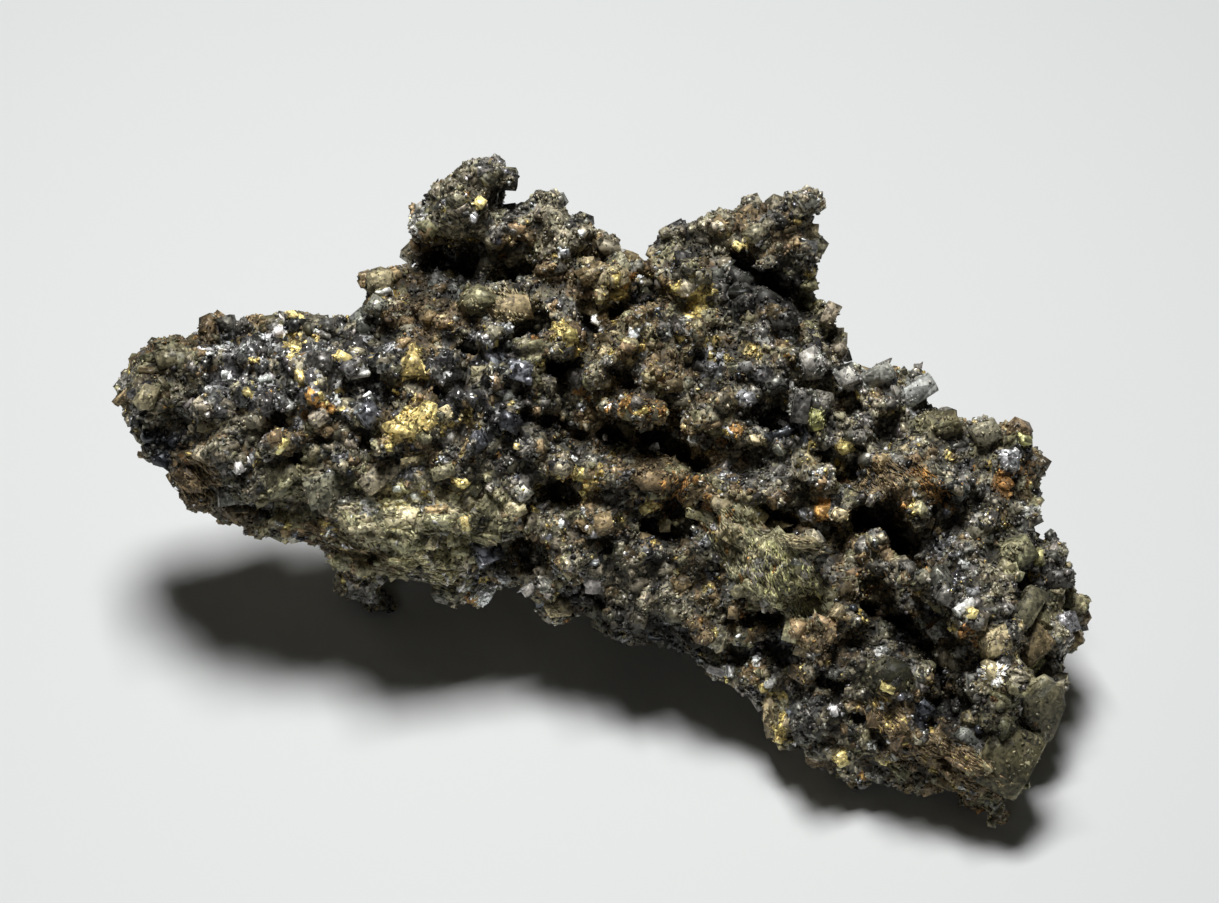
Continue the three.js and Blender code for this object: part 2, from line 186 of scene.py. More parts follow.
# Minerals: colours of the darkest and the lightest tone, metal, roughness, size of the grains, how thickly
# they cover their lumps, their shape, and the family that shares a material
Mineral = namedtuple("Mineral", "dark light metal rough size cover shape family")
MINERALS = {
    "sulphide": Mineral((0.030, 0.029, 0.026), (0.39, 0.37, 0.315), 0.45, (0.33, 0.58), (0.30, 0.80), 0.5,
                        "crystal", "metal"),
    "blue": Mineral((0.018, 0.019, 0.023), (0.30, 0.31, 0.335), 0.5, (0.20, 0.42), (0.35, 0.90), 0.25,
                    "crystal", "metal"),
    "glossy": Mineral((0.008, 0.008, 0.008), (0.22, 0.215, 0.205), 0.5, (0.14, 0.36), (0.35, 0.90), 0.25,
                      "crystal", "metal"),
    "grey": Mineral((0.070, 0.062, 0.040), (0.46, 0.415, 0.29), 0.25, (0.38, 0.62), (0.26, 0.62), 1.0,
                    "grain", "metal"),
    "silver": Mineral((0.22, 0.22, 0.22), (0.75, 0.75, 0.74), 0.5, (0.32, 0.56), (0.30, 0.70), 0.9,
                      "crystal", "metal"),
    "brown": Mineral((0.060, 0.043, 0.021), (0.38, 0.28, 0.150), 0.2, (0.42, 0.68), (0.25, 0.60), 1.0,
                     "grain", "earth"),
    "rust": Mineral((0.085, 0.042, 0.014), (0.60, 0.33, 0.105), 0.25, (0.36, 0.62), (0.24, 0.55), 1.0,
                    "grain", "earth"),
    "olive": Mineral((0.090, 0.081, 0.042), (0.50, 0.46, 0.275), 0.15, (0.40, 0.66), (0.28, 0.70), 0.7,
                     "plate", "earth"),
    "lime": Mineral((0.150, 0.150, 0.045), (0.70, 0.68, 0.32), 0.2, (0.34, 0.55), (0.28, 0.60), 0.6,
                    "plate", "earth"),
    "tan": Mineral((0.140, 0.115, 0.060), (0.58, 0.49, 0.29), 0.1, (0.50, 0.76), (0.26, 0.60), 0.8,
                   "grain", "earth"),
    "brass": Mineral((0.290, 0.200, 0.048), (1.00, 0.82, 0.34), 0.4, (0.28, 0.52), (0.22, 0.60), 1.0,
                     "plate", "brass"),
    "pale": Mineral((0.180, 0.176, 0.155), (0.60, 0.595, 0.545), 0.15, (0.40, 0.64), (0.28, 0.60), 1.0,
                    "grain", "pale"),
    "white": Mineral((0.55, 0.55, 0.52), (0.93, 0.93, 0.90), 0.0, (0.10, 0.30), (0.30, 0.60), 0.6,
                     "crystal", "pale"),
}
MINERAL_NAMES = list(MINERALS)

# What the rock is made of where no patch says otherwise, and how wide clouds change that
COMMON_MIX = {
    "sulphide": 0.25, "grey": 0.33, "brown": 0.17, "olive": 0.08, "tan": 0.04, "brass": 0.06, "pale": 0.03,
    "rust": 0.022, "white": 0.006, "blue": 0.01, "glossy": 0.02, "silver": 0.012, "lime": 0.0,
}
CLOUD_EFFECTS = {"brown": 0.9, "olive": 0.7, "grey": -0.5, "sulphide": -0.6}
CLOUD_SIZE = 9.0
CLOUD_STRENGTH = 1.6
CLOUD_LIMITS = (0.1, 3)
FINE_MINERALS = ("white", "silver", "brass", "rust", "pale")

# Patches of one mineral on the display face: across, up, half width, half height, twist in degrees and share,
# then how smooth it is, how coarse its lumps are and how much lighter they are
Patch = namedtuple("Patch", "what mineral across up half_width half_height twist share smooth coarse tone",
                   defaults=[0, 1, 0])
PATCHES = [Patch(*row) for row in (
    ("matrix at left tip", "grey", -44.7, 6.8, 3.8, 4.8, 0, 0.45, 0.3),
    ("olive in left tip", "olive", -43.6, 8.2, 2.8, 3.2, 0, 0.4, 0.3),
    ("tan in left tip", "tan", -45.0, 5.6, 3.4, 3.6, 0, 0.25, 0.3),
    ("stained edge of left tip", "rust", -44.0, 10.2, 2.0, 1.0, 25, 0.6),
    ("folded ledge at left", "brown", -41.0, -2.3, 3.2, 3.6, -20, 0.75, 0.45),
    ("wedge under folded ledge", "brown", -36.4, -6.7, 1.9, 1.7, 0, 0.8),
    ("granular ledge of left lobe", "brass", -31.0, -7.4, 4.4, 1.0, -8, 0.35),
    ("thin ledges of left lobe", "olive", -22.9, -10.3, 4.8, 1.7, -20, 0.8, 0.6),
    ("crystals on left lobe", "glossy", -29.0, 8.0, 9.5, 4.8, 0, 0.62, 0, 1.4, -0.03),
    ("crystals near left tip", "glossy", -37.3, 7.8, 2.8, 4.2, 0, 0.6, 0, 1.4),
    ("rust between crystals", "rust", -28.8, 3.6, 2.2, 1.2, 0, 0.75),
    ("golden granules", "brass", -28.3, 1.4, 2.3, 1.8, 0, 0.35),
    ("olive groove", "olive", -30.3, -1.6, 5.0, 1.4, 33, 0.7, 0.5),
    ("speckled shoulder", "grey", -37.6, 1.1, 3.4, 2.6, 20, 0.7, 0.4),
    ("olive slope", "olive", -29.5, -4.2, 5.4, 2.8, 15, 0.7, 0.6),
    ("reddish gold", "brass", -31.0, 10.4, 0.9, 0.9, 0, 0.8),
    ("olive band", "olive", -19.0, -7.4, 8.0, 4.4, -12, 0.75, 0.5, 1, 0.28),
    ("grey in olive band", "pale", -19.5, -5.8, 7.0, 3.4, -12, 0.2, 0.35),
    ("end of olive band", "olive", -13.4, -5.6, 4.2, 3.4, 0, 0.75, 0, 1, 0.14),
    ("glossy cluster over band", "glossy", -21.0, -1.6, 2.6, 1.5, 0, 0.7),
    ("pale gold group", "brass", -14.4, -3.6, 1.3, 0.9, 0, 0.85),
    ("grey lump in band", "pale", -23.4, -5.4, 1.6, 1.2, 0, 0.35),
    ("olive knob", "olive", -22.6, 16.8, 2.0, 2.1, 0, 0.8),
    ("gold on olive knob", "brass", -22.4, 14.8, 1.4, 1.0, 0, 0.4),
    ("grey lumps by block", "pale", -16.4, 16.3, 2.0, 1.3, 0, 0.55),
    ("crust left of block", "brown", -18.0, 13.2, 5.0, 2.4, 0, 0.75),
    ("silver crystals", "silver", -21.5, 10.6, 1.0, 0.8, 0, 0.75),
    # Painted highlights: lightened silver and white lumps that stand in for glints on the left lobe's
    # crystals
    ("glints on left lobe", "silver", -30.0, 7.6, 8.5, 4.2, 0, 0.10, 0, 1, 0.15),
    ("white glints on left lobe", "white", -29.5, 7.8, 8.6, 4.3, 0, 0.035, 0, 1, 0.1),
    ("gold on left lobe", "brass", -29.0, 6.8, 9.0, 4.0, 0, 0.10, 0, 1, 0.2),
    ("dark crystals of middle", "glossy", -13.6, 7.2, 4.6, 4.4, 0, 0.55, 0, 1.6, 0.04),
    ("lilac crystals", "silver", -10.2, 11.9, 1.6, 1.1, 0, 0.5),
    ("olive slab edge", "olive", -7.6, 8.5, 0.9, 3.2, 22, 0.9, 0.9),
    ("brightest gold", "brass", -19.9, 2.9, 3.2, 2.1, 40, 0.97, 0.3, 1, 0.22),
    ("gold beside brightest", "brass", -15.2, 2.6, 2.0, 2.0, 0, 0.6, 0, 1, 0.15),
    ("dark blocks in middle", "glossy", -9.9, 2.4, 2.0, 2.0, 0, 0.7, 0, 1.5),
    ("golden knob", "brass", -4.5, 11.4, 1.9, 1.9, 0, 0.6),
    ("left horn", "grey", -14.6, 24.4, 5.6, 4.4, 0, 0.8),
    ("grey end of left horn", "pale", -19.2, 22.8, 2.0, 2.0, 0, 0.4),
    ("gold under left horn", "brass", -15.2, 20.8, 2.4, 0.8, 10, 0.4),
    ("second horn", "grey", -4.8, 22.6, 3.6, 3.6, 0, 0.75),
    ("saddle between horns", "brown", -9.2, 21.2, 2.2, 1.8, 0, 0.6),
    ("tan lump under valley", "tan", -0.2, 16.4, 2.9, 2.4, 20, 0.6, 0.4),
    ("gold under valley", "brass", 1.0, 16.4, 2.6, 1.8, 0, 0.3),
    ("orange spot under valley", "rust", 2.2, 17.3, 0.9, 0.7, 0, 0.7),
    ("brown lumps under second horn", "brown", -5.3, 16.6, 2.6, 2.2, 0, 0.6),
    ("right horn", "grey", 12.8, 21.7, 7.6, 3.7, 8, 0.6, 0, 1.2, -0.05),
    ("stain of right horn", "brown", 14.0, 21.0, 6.0, 3.0, 8, 0.4),
    ("dark blocks of right horn", "sulphide", 14.8, 15.4, 4.6, 3.4, 0, 0.75, 0, 1.6, -0.2),
    ("bluish lump", "silver", 6.1, 18.2, 1.8, 1.0, 0, 0.5),
    ("glittering patch of right horn", "brass", 8.4, 15.5, 3.0, 2.1, 0, 0.65, 0.2, 1, 0.1),
    ("olive of right horn", "olive", 8.4, 15.3, 3.0, 2.2, 0, 0.35),
    ("first gold bit", "brass", 10.3, 10.4, 1.1, 1.0, 0, 0.65),
    ("second gold bit", "brass", 13.3, 9.9, 1.2, 1.0, 0, 0.65),
    ("pale crust", "pale", 7.4, 11.9, 1.4, 2.1, 0, 0.65),
    ("lumps of right edge", "olive", 20.2, 13.6, 2.0, 3.4, 0, 0.5),
    ("tan crust", "tan", 1.5, 10.6, 3.8, 3.2, 0, 0.45),
    ("gold in tan crust", "brass", 3.3, 10.4, 0.8, 0.8, 0, 0.8),
    ("pale lumps by ball", "pale", 23.7, 7.0, 1.9, 1.7, 0, 0.7),
    ("edge block", "pale", 26.4, 7.7, 2.0, 1.3, 0, 0.7, 0.6),
    ("wedge block", "pale", 29.9, 6.4, 1.9, 1.6, 30, 0.75, 0.8),
    ("dark gold cluster", "brass", 19.1, 0.1, 1.5, 1.6, 0, 0.5),
    ("dark crystal of middle", "grey", -4.7, 5.0, 1.8, 1.6, 0, 0.7, 0, 1.4),
    ("orange side of dark crystal", "rust", -2.7, 5.4, 0.8, 0.8, 0, 0.8),
    ("rusty ledge", "rust", 2.5, 4.4, 3.9, 1.5, 0, 0.8),
    ("gold in rusty ledge", "brass", 2.8, 4.6, 3.6, 1.3, 0, 0.28),
    ("gold cluster of middle", "brass", -4.2, -2.6, 1.5, 1.1, 0, 0.7),
    ("brown dome", "brown", 4.0, -2.3, 3.3, 2.2, 0, 0.8),
    ("tan and orange patch", "tan", 11.3, -5.2, 2.0, 2.0, 0, 0.5),
    ("orange in tan patch", "rust", 11.0, -5.6, 2.0, 1.6, 0, 0.4),
    ("orange in upper end of zone", "rust", 10.6, -6.2, 2.2, 2.0, 0, 0.3, 0.2),
    ("yellow olive zone", "olive", 15.4, -11.2, 8.6, 3.7, -46, 0.85, 0.45, 1, 0.2),
    ("upper end of zone", "tan", 11.4, -7.2, 2.8, 2.6, 0, 0.7, 0.2, 1, 0.1),
    ("rust left of block", "rust", 13.7, -12.1, 2.2, 1.5, 0, 0.4),
    ("grey granular slope", "grey", 3.0, -14.5, 6.2, 3.2, 0, 0.7),
    ("stained lump", "brown", -3.4, -7.7, 1.8, 1.4, 0, 0.6),
    ("brown lobe on right", "brown", 28.0, -2.4, 4.2, 2.4, 0, 0.75, 0, 1, 0.12),
    ("orange ridge on right", "rust", 30.9, -3.2, 2.2, 0.8, -45, 0.95),
    ("rusty knob on right", "rust", 38.2, -3.3, 1.3, 1.2, 0, 0.85),
    ("rusty edge on right", "rust", 40.6, -1.8, 2.0, 0.8, 25, 0.8),
    ("olive lumps of right edge", "olive", 36.7, 1.0, 3.4, 1.8, 0, 0.5),
    ("olive block of top edge", "olive", 31.4, 3.1, 2.8, 1.5, 0, 0.6),
    ("green grey knob", "olive", 40.0, -9.9, 2.5, 2.4, 0, 0.6),
    ("block of right edge", "olive", 45.0, -14.5, 2.3, 3.1, -20, 0.5, 0.5),
    ("sparkling saddle", "silver", 32.5, -9.2, 2.5, 1.3, 0, 0.35),
    ("rust by white crust", "rust", 35.2, -18.0, 1.0, 2.2, 15, 0.6),
    ("smooth right end", "olive", 40.4, -26.6, 4.2, 7.5, -18, 0.6, 0.5, 1, -0.2),
    ("olive planes on right", "olive", 43.1, -17.2, 1.8, 2.6, -20, 0.6, 0.6),
    ("brown band of lower end", "brown", 33.3, -30.0, 3.6, 2.8, -35, 0.7, 0.4),
    ("gold in brown band", "brass", 33.0, -30.0, 3.2, 2.4, -30, 0.22),
    ("yellow lump of lower edge", "brass", 15.9, -25.8, 1.3, 3.3, 5, 0.55),
    ("olive of yellow lump", "olive", 15.9, -25.8, 1.4, 3.4, 5, 0.4),
    ("dark lump of lower edge", "sulphide", 19.2, -26.3, 2.1, 3.0, 0, 0.75),
    ("grey lump of lower edge", "grey", 23.5, -30.7, 2.5, 1.6, 0, 0.7),
    ("tan dome", "olive", 27.4, -22.2, 3.0, 1.9, -15, 0.6, 0.2, 1, -0.15),
    ("fibrous brown", "brown", 26.9, -25.6, 2.1, 2.2, 0, 0.75),
    ("gold in fibrous brown", "brass", 26.9, -25.6, 2.0, 2.0, 0, 0.2),
    ("brown hollow edge", "brown", 21.6, -18.4, 3.6, 2.0, 0, 0.7),
    ("gold by hollow edge", "brass", 22.0, -17.6, 2.6, 1.4, 0, 0.25),
    ("brown of lower right end", "brown", 31.5, -26.6, 7.5, 4.6, -36, 0.45),
    ("gold of lower right end", "brass", 31.0, -26.8, 7.0, 4.2, -36, 0.10),
    ("golden brown crust of upper middle", "brown", 3.6, 13.0, 7.6, 6.4, 0, 0.35),
    ("gold of upper middle", "brass", 3.6, 13.4, 7.4, 6.0, 0, 0.14),
    ("bottom tip", "olive", 37.7, -34.8, 1.7, 2.0, 0, 0.6),
)]

# Painted shade and painted light at places of the display face, by a factor, partly the minerals' own
# lightness
PaintedShade = namedtuple("PaintedShade", "what across up half_width half_height twist factor")
PAINTED_LIGHT_AND_SHADE = [PaintedShade(*row) for row in (
    ("dark foot of right horn", 14.8, 15.0, 4.8, 3.6, 0, 0.5),
    ("left of dark foot", 10.8, 8.2, 3.2, 2.6, 0, 0.4),
    ("over glittering patch", 7.7, 18.0, 2.6, 1.4, 0, 0.6),
    ("left tip", -44.6, 8.8, 3.0, 3.6, 0, 0.6),
    ("lower crystals of left lobe", -34.4, 5.2, 4.4, 2.2, 0, 0.5),
    ("upper crystals of left lobe", -23.6, 11.4, 3.0, 1.8, 0, 0.6),
    ("blue crystals", -14.4, 8.4, 2.4, 2.2, 0, 0.6),
    ("dark blocks of middle", -6.4, 2.2, 3.2, 1.6, -20, 0.45),
    ("left of olive block", 7.8, -10.8, 2.6, 2.0, 0, 0.5),
    ("saddle on right", 32.7, -10.6, 2.6, 2.0, 0, 0.55),
    ("long hollow", 26.6, -16.8, 3.4, 1.3, -30, 0.35),
    ("lower side of olive band", -16.4, -10.8, 5.0, 1.7, -10, 1.8),
    ("under left horn", -15.8, 17.9, 4.6, 1.8, -10, 0.35),
    ("crust left of tan block", -17.4, 14.6, 3.2, 1.8, 0, 0.55),
    ("right of tan block", -4.8, 11.6, 2.4, 2.0, 0, 0.7),
    ("between crystal groups", -20.5, 8.2, 2.2, 2.0, 0, 0.6),
    ("upper edge of left lobe", -38.6, 11.6, 4.0, 1.6, 0, 0.6),
    ("under left tip", -42.6, -0.8, 2.8, 2.8, 0, 0.5),
    ("lower edge of left lobe", -35.6, -7.0, 3.6, 1.8, -20, 0.55),
    ("over olive band", -14.2, -1.0, 2.8, 1.5, 0, 0.6),
    ("under middle", 2.4, -17.6, 8.4, 2.4, -22, 0.25),
    ("hollow on right", 27.0, -7.2, 4.4, 1.9, -36, 0.35),
    ("under orange ridge", 36.0, -4.5, 2.8, 1.3, 0, 0.45),
    ("dark dome of lower right", 26.6, -20.4, 3.6, 2.6, 0, 0.42),
    ("dark lower right end", 35.6, -26.2, 4.0, 3.0, -20, 0.55),
    ("edge over yellow lump", 20.0, -20.2, 3.4, 2.0, 0, 0.55),
    ("lump of lower edge", 20.4, -26.4, 3.2, 3.0, 0, 0.55),
    ("side of green knob", 42.0, -13.7, 2.6, 1.8, 0, 0.5),
    ("golden granules in middle", -14.4, 1.6, 2.4, 1.8, 0, 1.8),
    ("pale crust under right edge", 23.6, -1.0, 3.0, 1.9, 0, 2.0),
    ("pale crust under wedge block", 26.6, 2.0, 2.8, 2.0, 0, 1.9),
    ("pale crust by ball", 23.2, 5.0, 2.6, 1.8, 0, 1.8),
    ("bleached top of olive band", -20.0, -4.6, 4.4, 2.0, -12, 1.9),
    ("star", 37.8, -21.8, 1.8, 1.7, 0, 1.6),
    ("glittering hollow", 7.6, 14.6, 2.6, 1.8, 0, 1.7),
    ("grey lumps of ledge", -11.4, -13.6, 3.2, 2.0, 20, 2.4),
    ("left end of rusty ledge", -1.6, 5.0, 2.2, 1.7, 0, 1.8),
    ("pale stone of middle", -8.0, -4.4, 2.4, 1.6, 0, 1.7),
)]

# Crystals and lumps of the display face that stand out by themselves: across, up, half sizes, twist and tone
Feature = namedtuple("Feature", "what shape mineral across up half_width half_height half_depth twist tone")
FEATURES = [Feature(*row) for row in (
    ("black knob under left tip", "ball", "blue", -45.0, 1.5, 1.2, 1.2, 1.2, 0, 0.06),
    ("lower black knob", "ball", "blue", -43.9, -0.7, 1.3, 1.2, 1.2, 0, 0.08),
    ("inner black knob", "ball", "blue", -42.7, 1.0, 1.0, 1.1, 1.0, 0, 0.1),
    ("dark block of top edge", "block", "sulphide", -37.4, 12.4, 0.9, 0.9, 0.9, 20, 0.3),
    ("dark block beside it", "block", "sulphide", -35.8, 12.1, 0.8, 0.8, 0.8, -15, 0.4),
    ("dark block before knob", "crystal", "sulphide", -27.6, 12.4, 0.9, 0.8, 0.8, 10, 0.25),
    ("pale rimmed crystal", "crystal", "white", -32.4, 11.7, 0.6, 0.65, 0.5, 10, 0.6),
    # Painted highlight: a white crystal put where a glint is
    ("white bead", "crystal", "white", -37.6, 7.6, 0.38, 0.4, 0.4, 0, 1.0),
    ("white flake", "block", "white", -33.7, 7.0, 0.65, 0.38, 0.35, 15, 0.9),
    ("silver blade", "block", "silver", -39.2, 5.8, 0.3, 0.55, 0.35, 15, 0.9),
    ("large dark crystal", "block", "sulphide", -28.3, 8.7, 1.5, 1.0, 0.9, -8, 0.3),
    ("gold on top edge", "ball", "brass", -30.8, 13.3, 1.2, 0.6, 0.6, 5, 0.7),
    ("pale gold crystal one", "block", "brass", -26.1, 9.2, 0.85, 0.5, 0.5, 5, 0.9),
    ("pale gold crystal two", "crystal", "brass", -23.3, 9.3, 0.6, 0.4, 0.4, 0, 0.8),
    ("pale gold crystal three", "crystal", "brass", -30.2, 7.3, 0.75, 0.8, 0.6, 0, 0.95),
    ("pale gold crystal four", "crystal", "brass", -35.4, 5.7, 0.5, 0.65, 0.5, 10, 0.9),
    ("pale rod", "rod", "pale", -24.4, 7.5, 1.1, 0.36, 0.36, 28, 0.9),
    ("white rod", "rod", "white", -23.7, 5.5, 0.5, 0.26, 0.26, 35, 0.9),
    ("greenish white cube", "block", "pale", -31.4, 4.5, 0.5, 0.5, 0.5, 20, 1.0),
    ("bluish crystal", "block", "blue", -23.5, 3.6, 1.1, 1.1, 0.9, 30, 0.7),
    ("greyish crystal", "crystal", "grey", -25.6, 4.7, 0.75, 0.7, 0.6, 0, 0.7),
    ("cream crystal", "block", "pale", -36.3, -1.6, 0.55, 0.6, 0.5, 15, 0.9),
    ("silver crystal", "crystal", "silver", -35.3, -0.8, 0.4, 0.5, 0.4, 0, 0.7),
    ("blue facet", "block", "blue", -27.4, -2.5, 0.7, 0.5, 0.4, 35, 0.9),
    ("golden streak", "rod", "brass", -32.0, 0.5, 1.0, 0.38, 0.4, 48, 0.9),
    ("golden wedge", "wedge", "brass", -19.3, 8.8, 1.7, 2.0, 1.0, 0, 0.6),
    ("crystal under tan block", "crystal", "blue", -11.6, 9.4, 1.3, 1.1, 0.9, -20, 0.6),
    ("bluish block", "block", "blue", -8.7, 7.9, 1.2, 1.0, 0.9, -15, 0.7),
    ("lilac plate", "block", "silver", -12.2, 10.9, 1.1, 0.3, 0.6, -20, 0.4),
    ("lilac crystal", "block", "silver", -10.2, 11.9, 0.8, 0.5, 0.5, 10, 0.3),
    ("pale olive facet", "block", "olive", -12.8, 7.8, 0.85, 0.6, 0.5, -5, 0.85),
    # Painted highlight: a white crystal put where a glint is
    ("white glint", "crystal", "white", -15.7, 7.5, 0.3, 0.3, 0.3, 0, 1.0),
    ("pinkish fragment", "block", "tan", -15.9, 3.8, 0.5, 0.7, 0.5, 20, 0.9),
    ("glassy grey crystal", "crystal", "pale", -15.9, 1.4, 0.95, 0.65, 0.6, 0, 0.75),
    ("blue black crystal", "crystal", "blue", -12.8, 1.1, 1.1, 1.25, 1.0, 0, 0.25),
    ("black block", "block", "blue", -9.8, 2.9, 1.1, 0.9, 0.9, -20, 0.12),
    ("yellow fleck", "crystal", "brass", -9.1, 0.5, 0.38, 0.38, 0.35, 0, 1.0),
    ("pale flake", "block", "tan", -19.2, -0.8, 1.3, 0.35, 0.6, 18, 0.6),
    ("smooth slab of band", "block", "olive", -16.2, -2.0, 1.3, 0.65, 0.6, 25, 0.4),
    ("pale gold facets", "crystal", "brass", -14.4, -3.2, 1.0, 0.55, 0.45, 18, 0.7),
    ("cream lump", "crystal", "pale", -20.8, -3.7, 0.5, 0.35, 0.35, 0, 1.0),
    ("white lump", "crystal", "white", -22.6, -2.7, 0.32, 0.25, 0.25, 0, 0.8),
    ("cream granules", "ball", "pale", -18.9, -4.5, 0.8, 0.55, 0.5, 0, 0.85),
    ("yellow fleck of band", "block", "brass", -14.1, -7.0, 0.4, 0.8, 0.4, 5, 0.95),
    ("pinkish rod", "rod", "pale", -6.5, -5.5, 1.0, 0.3, 0.3, 42, 0.95),
    ("white bead of middle", "crystal", "white", -4.7, -7.0, 0.35, 0.35, 0.3, 0, 0.9),
    ("shell of band", "ball", "olive", -23.0, -8.0, 1.6, 1.3, 0.9, 0, 0.5),
    ("tan block", "ball", "tan", -9.8, 14.3, 3.2, 2.4, 1.9, -6, 0.2),
    ("olive knob", "ball", "olive", -22.7, 16.9, 1.9, 1.9, 1.6, 0, 0.25),
    ("pale plate of knob", "block", "pale", -22.0, 15.6, 0.8, 0.22, 0.5, 0, 0.9),
    ("stalk of left horn", "block", "grey", -12.1, 18.2, 0.8, 1.6, 0.8, -4, 0.2),
    ("block by second horn", "ball", "grey", 0.1, 20.1, 1.7, 1.4, 1.4, -12, 0.2),
    ("tan dome by block", "ball", "tan", -2.2, 18.6, 1.1, 0.7, 0.8, 10, 0.7),
    ("gold of left horn", "block", "brass", -12.6, 24.3, 0.5, 0.6, 0.4, -20, 0.95),
    # Painted highlights: a silver and a white crystal put where glints are
    ("pale crystal of left horn", "crystal", "silver", -13.3, 22.8, 0.45, 0.6, 0.4, 0, 0.9),
    ("bluish bead of second horn", "crystal", "white", -2.8, 21.3, 0.42, 0.38, 0.35, 0, 0.6),
    ("lilac crystal of second horn", "block", "silver", -4.4, 19.4, 0.5, 0.5, 0.4, 20, 0.7),
    ("golden knob", "ball", "brass", -3.9, 11.4, 1.2, 1.3, 1.1, 0, 0.45),
    # Painted highlight: a white crystal put where a glint is
    ("white facet by golden knob", "block", "white", -1.3, 12.8, 0.5, 0.45, 0.4, -30, 0.9),
    ("gold spark of right horn", "block", "brass", 12.5, 20.0, 0.5, 0.32, 0.3, -35, 1.0),
    # Painted highlight: a white crystal put where a glint is
    ("pinkish glint of right horn", "crystal", "white", 14.5, 20.3, 0.35, 0.25, 0.25, 0, 0.7),
    ("tan lump of straight edge", "block", "tan", 19.7, 21.6, 0.8, 0.8, 0.8, 0, 0.45),
    ("dark block of right horn", "block", "sulphide", 15.3, 14.6, 1.3, 1.3, 1.1, -30, 0.12),
    ("dark block over it", "block", "sulphide", 12.7, 16.8, 1.4, 0.95, 1.0, -15, 0.1),
    ("dark slab under it", "block", "sulphide", 17.2, 12.9, 1.5, 0.8, 0.9, 10, 0.14),
    ("golden octahedron", "crystal", "tan", 13.8, 13.1, 1.0, 0.85, 0.8, 0, 0.6),
    ("ring crystal", "crystal", "pale", 15.0, 11.0, 0.5, 0.5, 0.4, 0, 0.9),
    ("grey block of right edge", "block", "grey", 21.5, 13.4, 0.8, 1.3, 0.9, -8, 0.35),
    ("tan bead", "ball", "tan", 8.5, 12.4, 0.7, 0.7, 0.6, 0, 0.6),
    ("blue grey ball", "ball", "pale", 13.3, 8.3, 0.95, 0.8, 0.8, 0, 0.5),
    ("blue grey crystal", "crystal", "silver", 9.8, 8.1, 0.75, 0.8, 0.6, 0, 0.4),
    ("pale ball", "ball", "pale", 20.0, 8.6, 1.8, 2.0, 1.7, 0, 0.3),
    ("black rounded lump", "ball", "sulphide", 16.3, 6.6, 1.6, 1.4, 1.3, 0, 0.08),
    ("slate slab", "block", "sulphide", 18.7, 4.5, 0.9, 1.8, 0.8, -8, 0.22),
    ("slate wedge", "block", "blue", 17.0, 1.8, 2.0, 0.45, 0.8, 5, 0.25),
    # Painted highlight: a white crystal put where a glint is
    ("white blade by slate", "block", "white", 16.9, 2.7, 0.6, 0.22, 0.5, -45, 0.95),
    ("silvery lump", "ball", "silver", 13.4, 5.2, 1.4, 1.2, 1.1, 0, 0.25),
    ("yellowish lump", "ball", "tan", 14.4, 1.1, 0.9, 0.7, 0.7, 0, 0.8),
    ("golden olive knob", "ball", "lime", 20.3, 3.1, 1.05, 1.3, 1.0, 0, 0.4),
    ("pale lump by ball", "block", "pale", 23.2, 7.2, 1.0, 0.9, 0.9, 10, 0.5),
    ("edge block", "slab", "pale", 26.4, 7.5, 1.5, 0.9, 1.0, 15, 0.3),
    ("wedge block", "slab", "pale", 30.2, 5.9, 2.0, 1.1, 1.1, 28, 0.35),
    ("pale gold crystal five", "crystal", "brass", 23.0, 0.4, 1.1, 0.85, 0.7, 0, 0.95),
    ("pinkish white crystal", "block", "pale", 26.7, 0.8, 0.7, 0.55, 0.5, 15, 1.0),
    ("olive block of top edge", "ball", "olive", 32.4, 2.7, 2.6, 2.0, 1.8, -18, 0.08),
    ("grey green peak", "slab", "grey", 36.8, 1.9, 1.4, 1.1, 1.1, 20, 0.35),
    ("gold green tip", "block", "lime", 40.7, 1.1, 0.6, 0.4, 0.5, -20, 0.9),
    ("bluish facets", "block", "silver", 39.1, -0.7, 1.1, 1.0, 0.7, 10, 0.4),
    ("orange knob", "ball", "rust", 38.6, -3.2, 1.2, 0.9, 0.9, 15, 0.45),
    ("orange crystal", "ball", "rust", 20.8, -5.9, 1.0, 1.2, 1.0, 0, 0.85),
    ("pinkish ball", "ball", "tan", 22.6, -6.2, 1.0, 1.0, 1.0, 0, 0.9),
    ("silver crystal by ball", "crystal", "silver", 19.0, -6.2, 0.6, 0.8, 0.6, 0, 0.6),
    ("dark knob of right edge", "ball", "sulphide", 43.3, -8.4, 0.9, 1.0, 0.9, 0, 0.08),
    ("lower dark knob", "ball", "sulphide", 43.5, -10.3, 0.8, 1.0, 0.8, 0, 0.12),
    ("green grey knob", "ball", "olive", 39.9, -9.8, 2.3, 2.2, 1.6, 0, 0.32),
    ("yellow rim of knob", "ball", "lime", 42.0, -10.2, 0.6, 1.3, 0.9, 0, 0.6),
    ("round white crystal", "ball", "white", 34.8, -11.2, 1.0, 0.8, 1.8, -20, 0.5),
    ("bluish lump", "crystal", "silver", 35.3, -13.8, 0.7, 0.5, 0.5, 0, 0.6),
    ("bluish white crust", "block", "pale", 34.7, -15.2, 1.2, 0.5, 0.5, 28, 0.9),
    ("gold crystal of right end", "block", "brass", 35.6, -15.9, 0.42, 0.6, 0.4, -15, 1.0),
    ("tan oval", "ball", "pale", 40.7, -5.7, 0.6, 0.4, 0.4, 15, 0.8),
    ("block of right edge", "block", "sulphide", 44.1, -12.4, 1.5, 1.0, 1.1, -12, 0.12),
    ("slab of right edge", "block", "olive", 45.4, -14.6, 1.7, 0.9, 1.0, -28, 0.35),
    ("grey crystals of right edge", "block", "silver", 44.6, -16.8, 1.2, 1.1, 0.9, 20, 0.2),
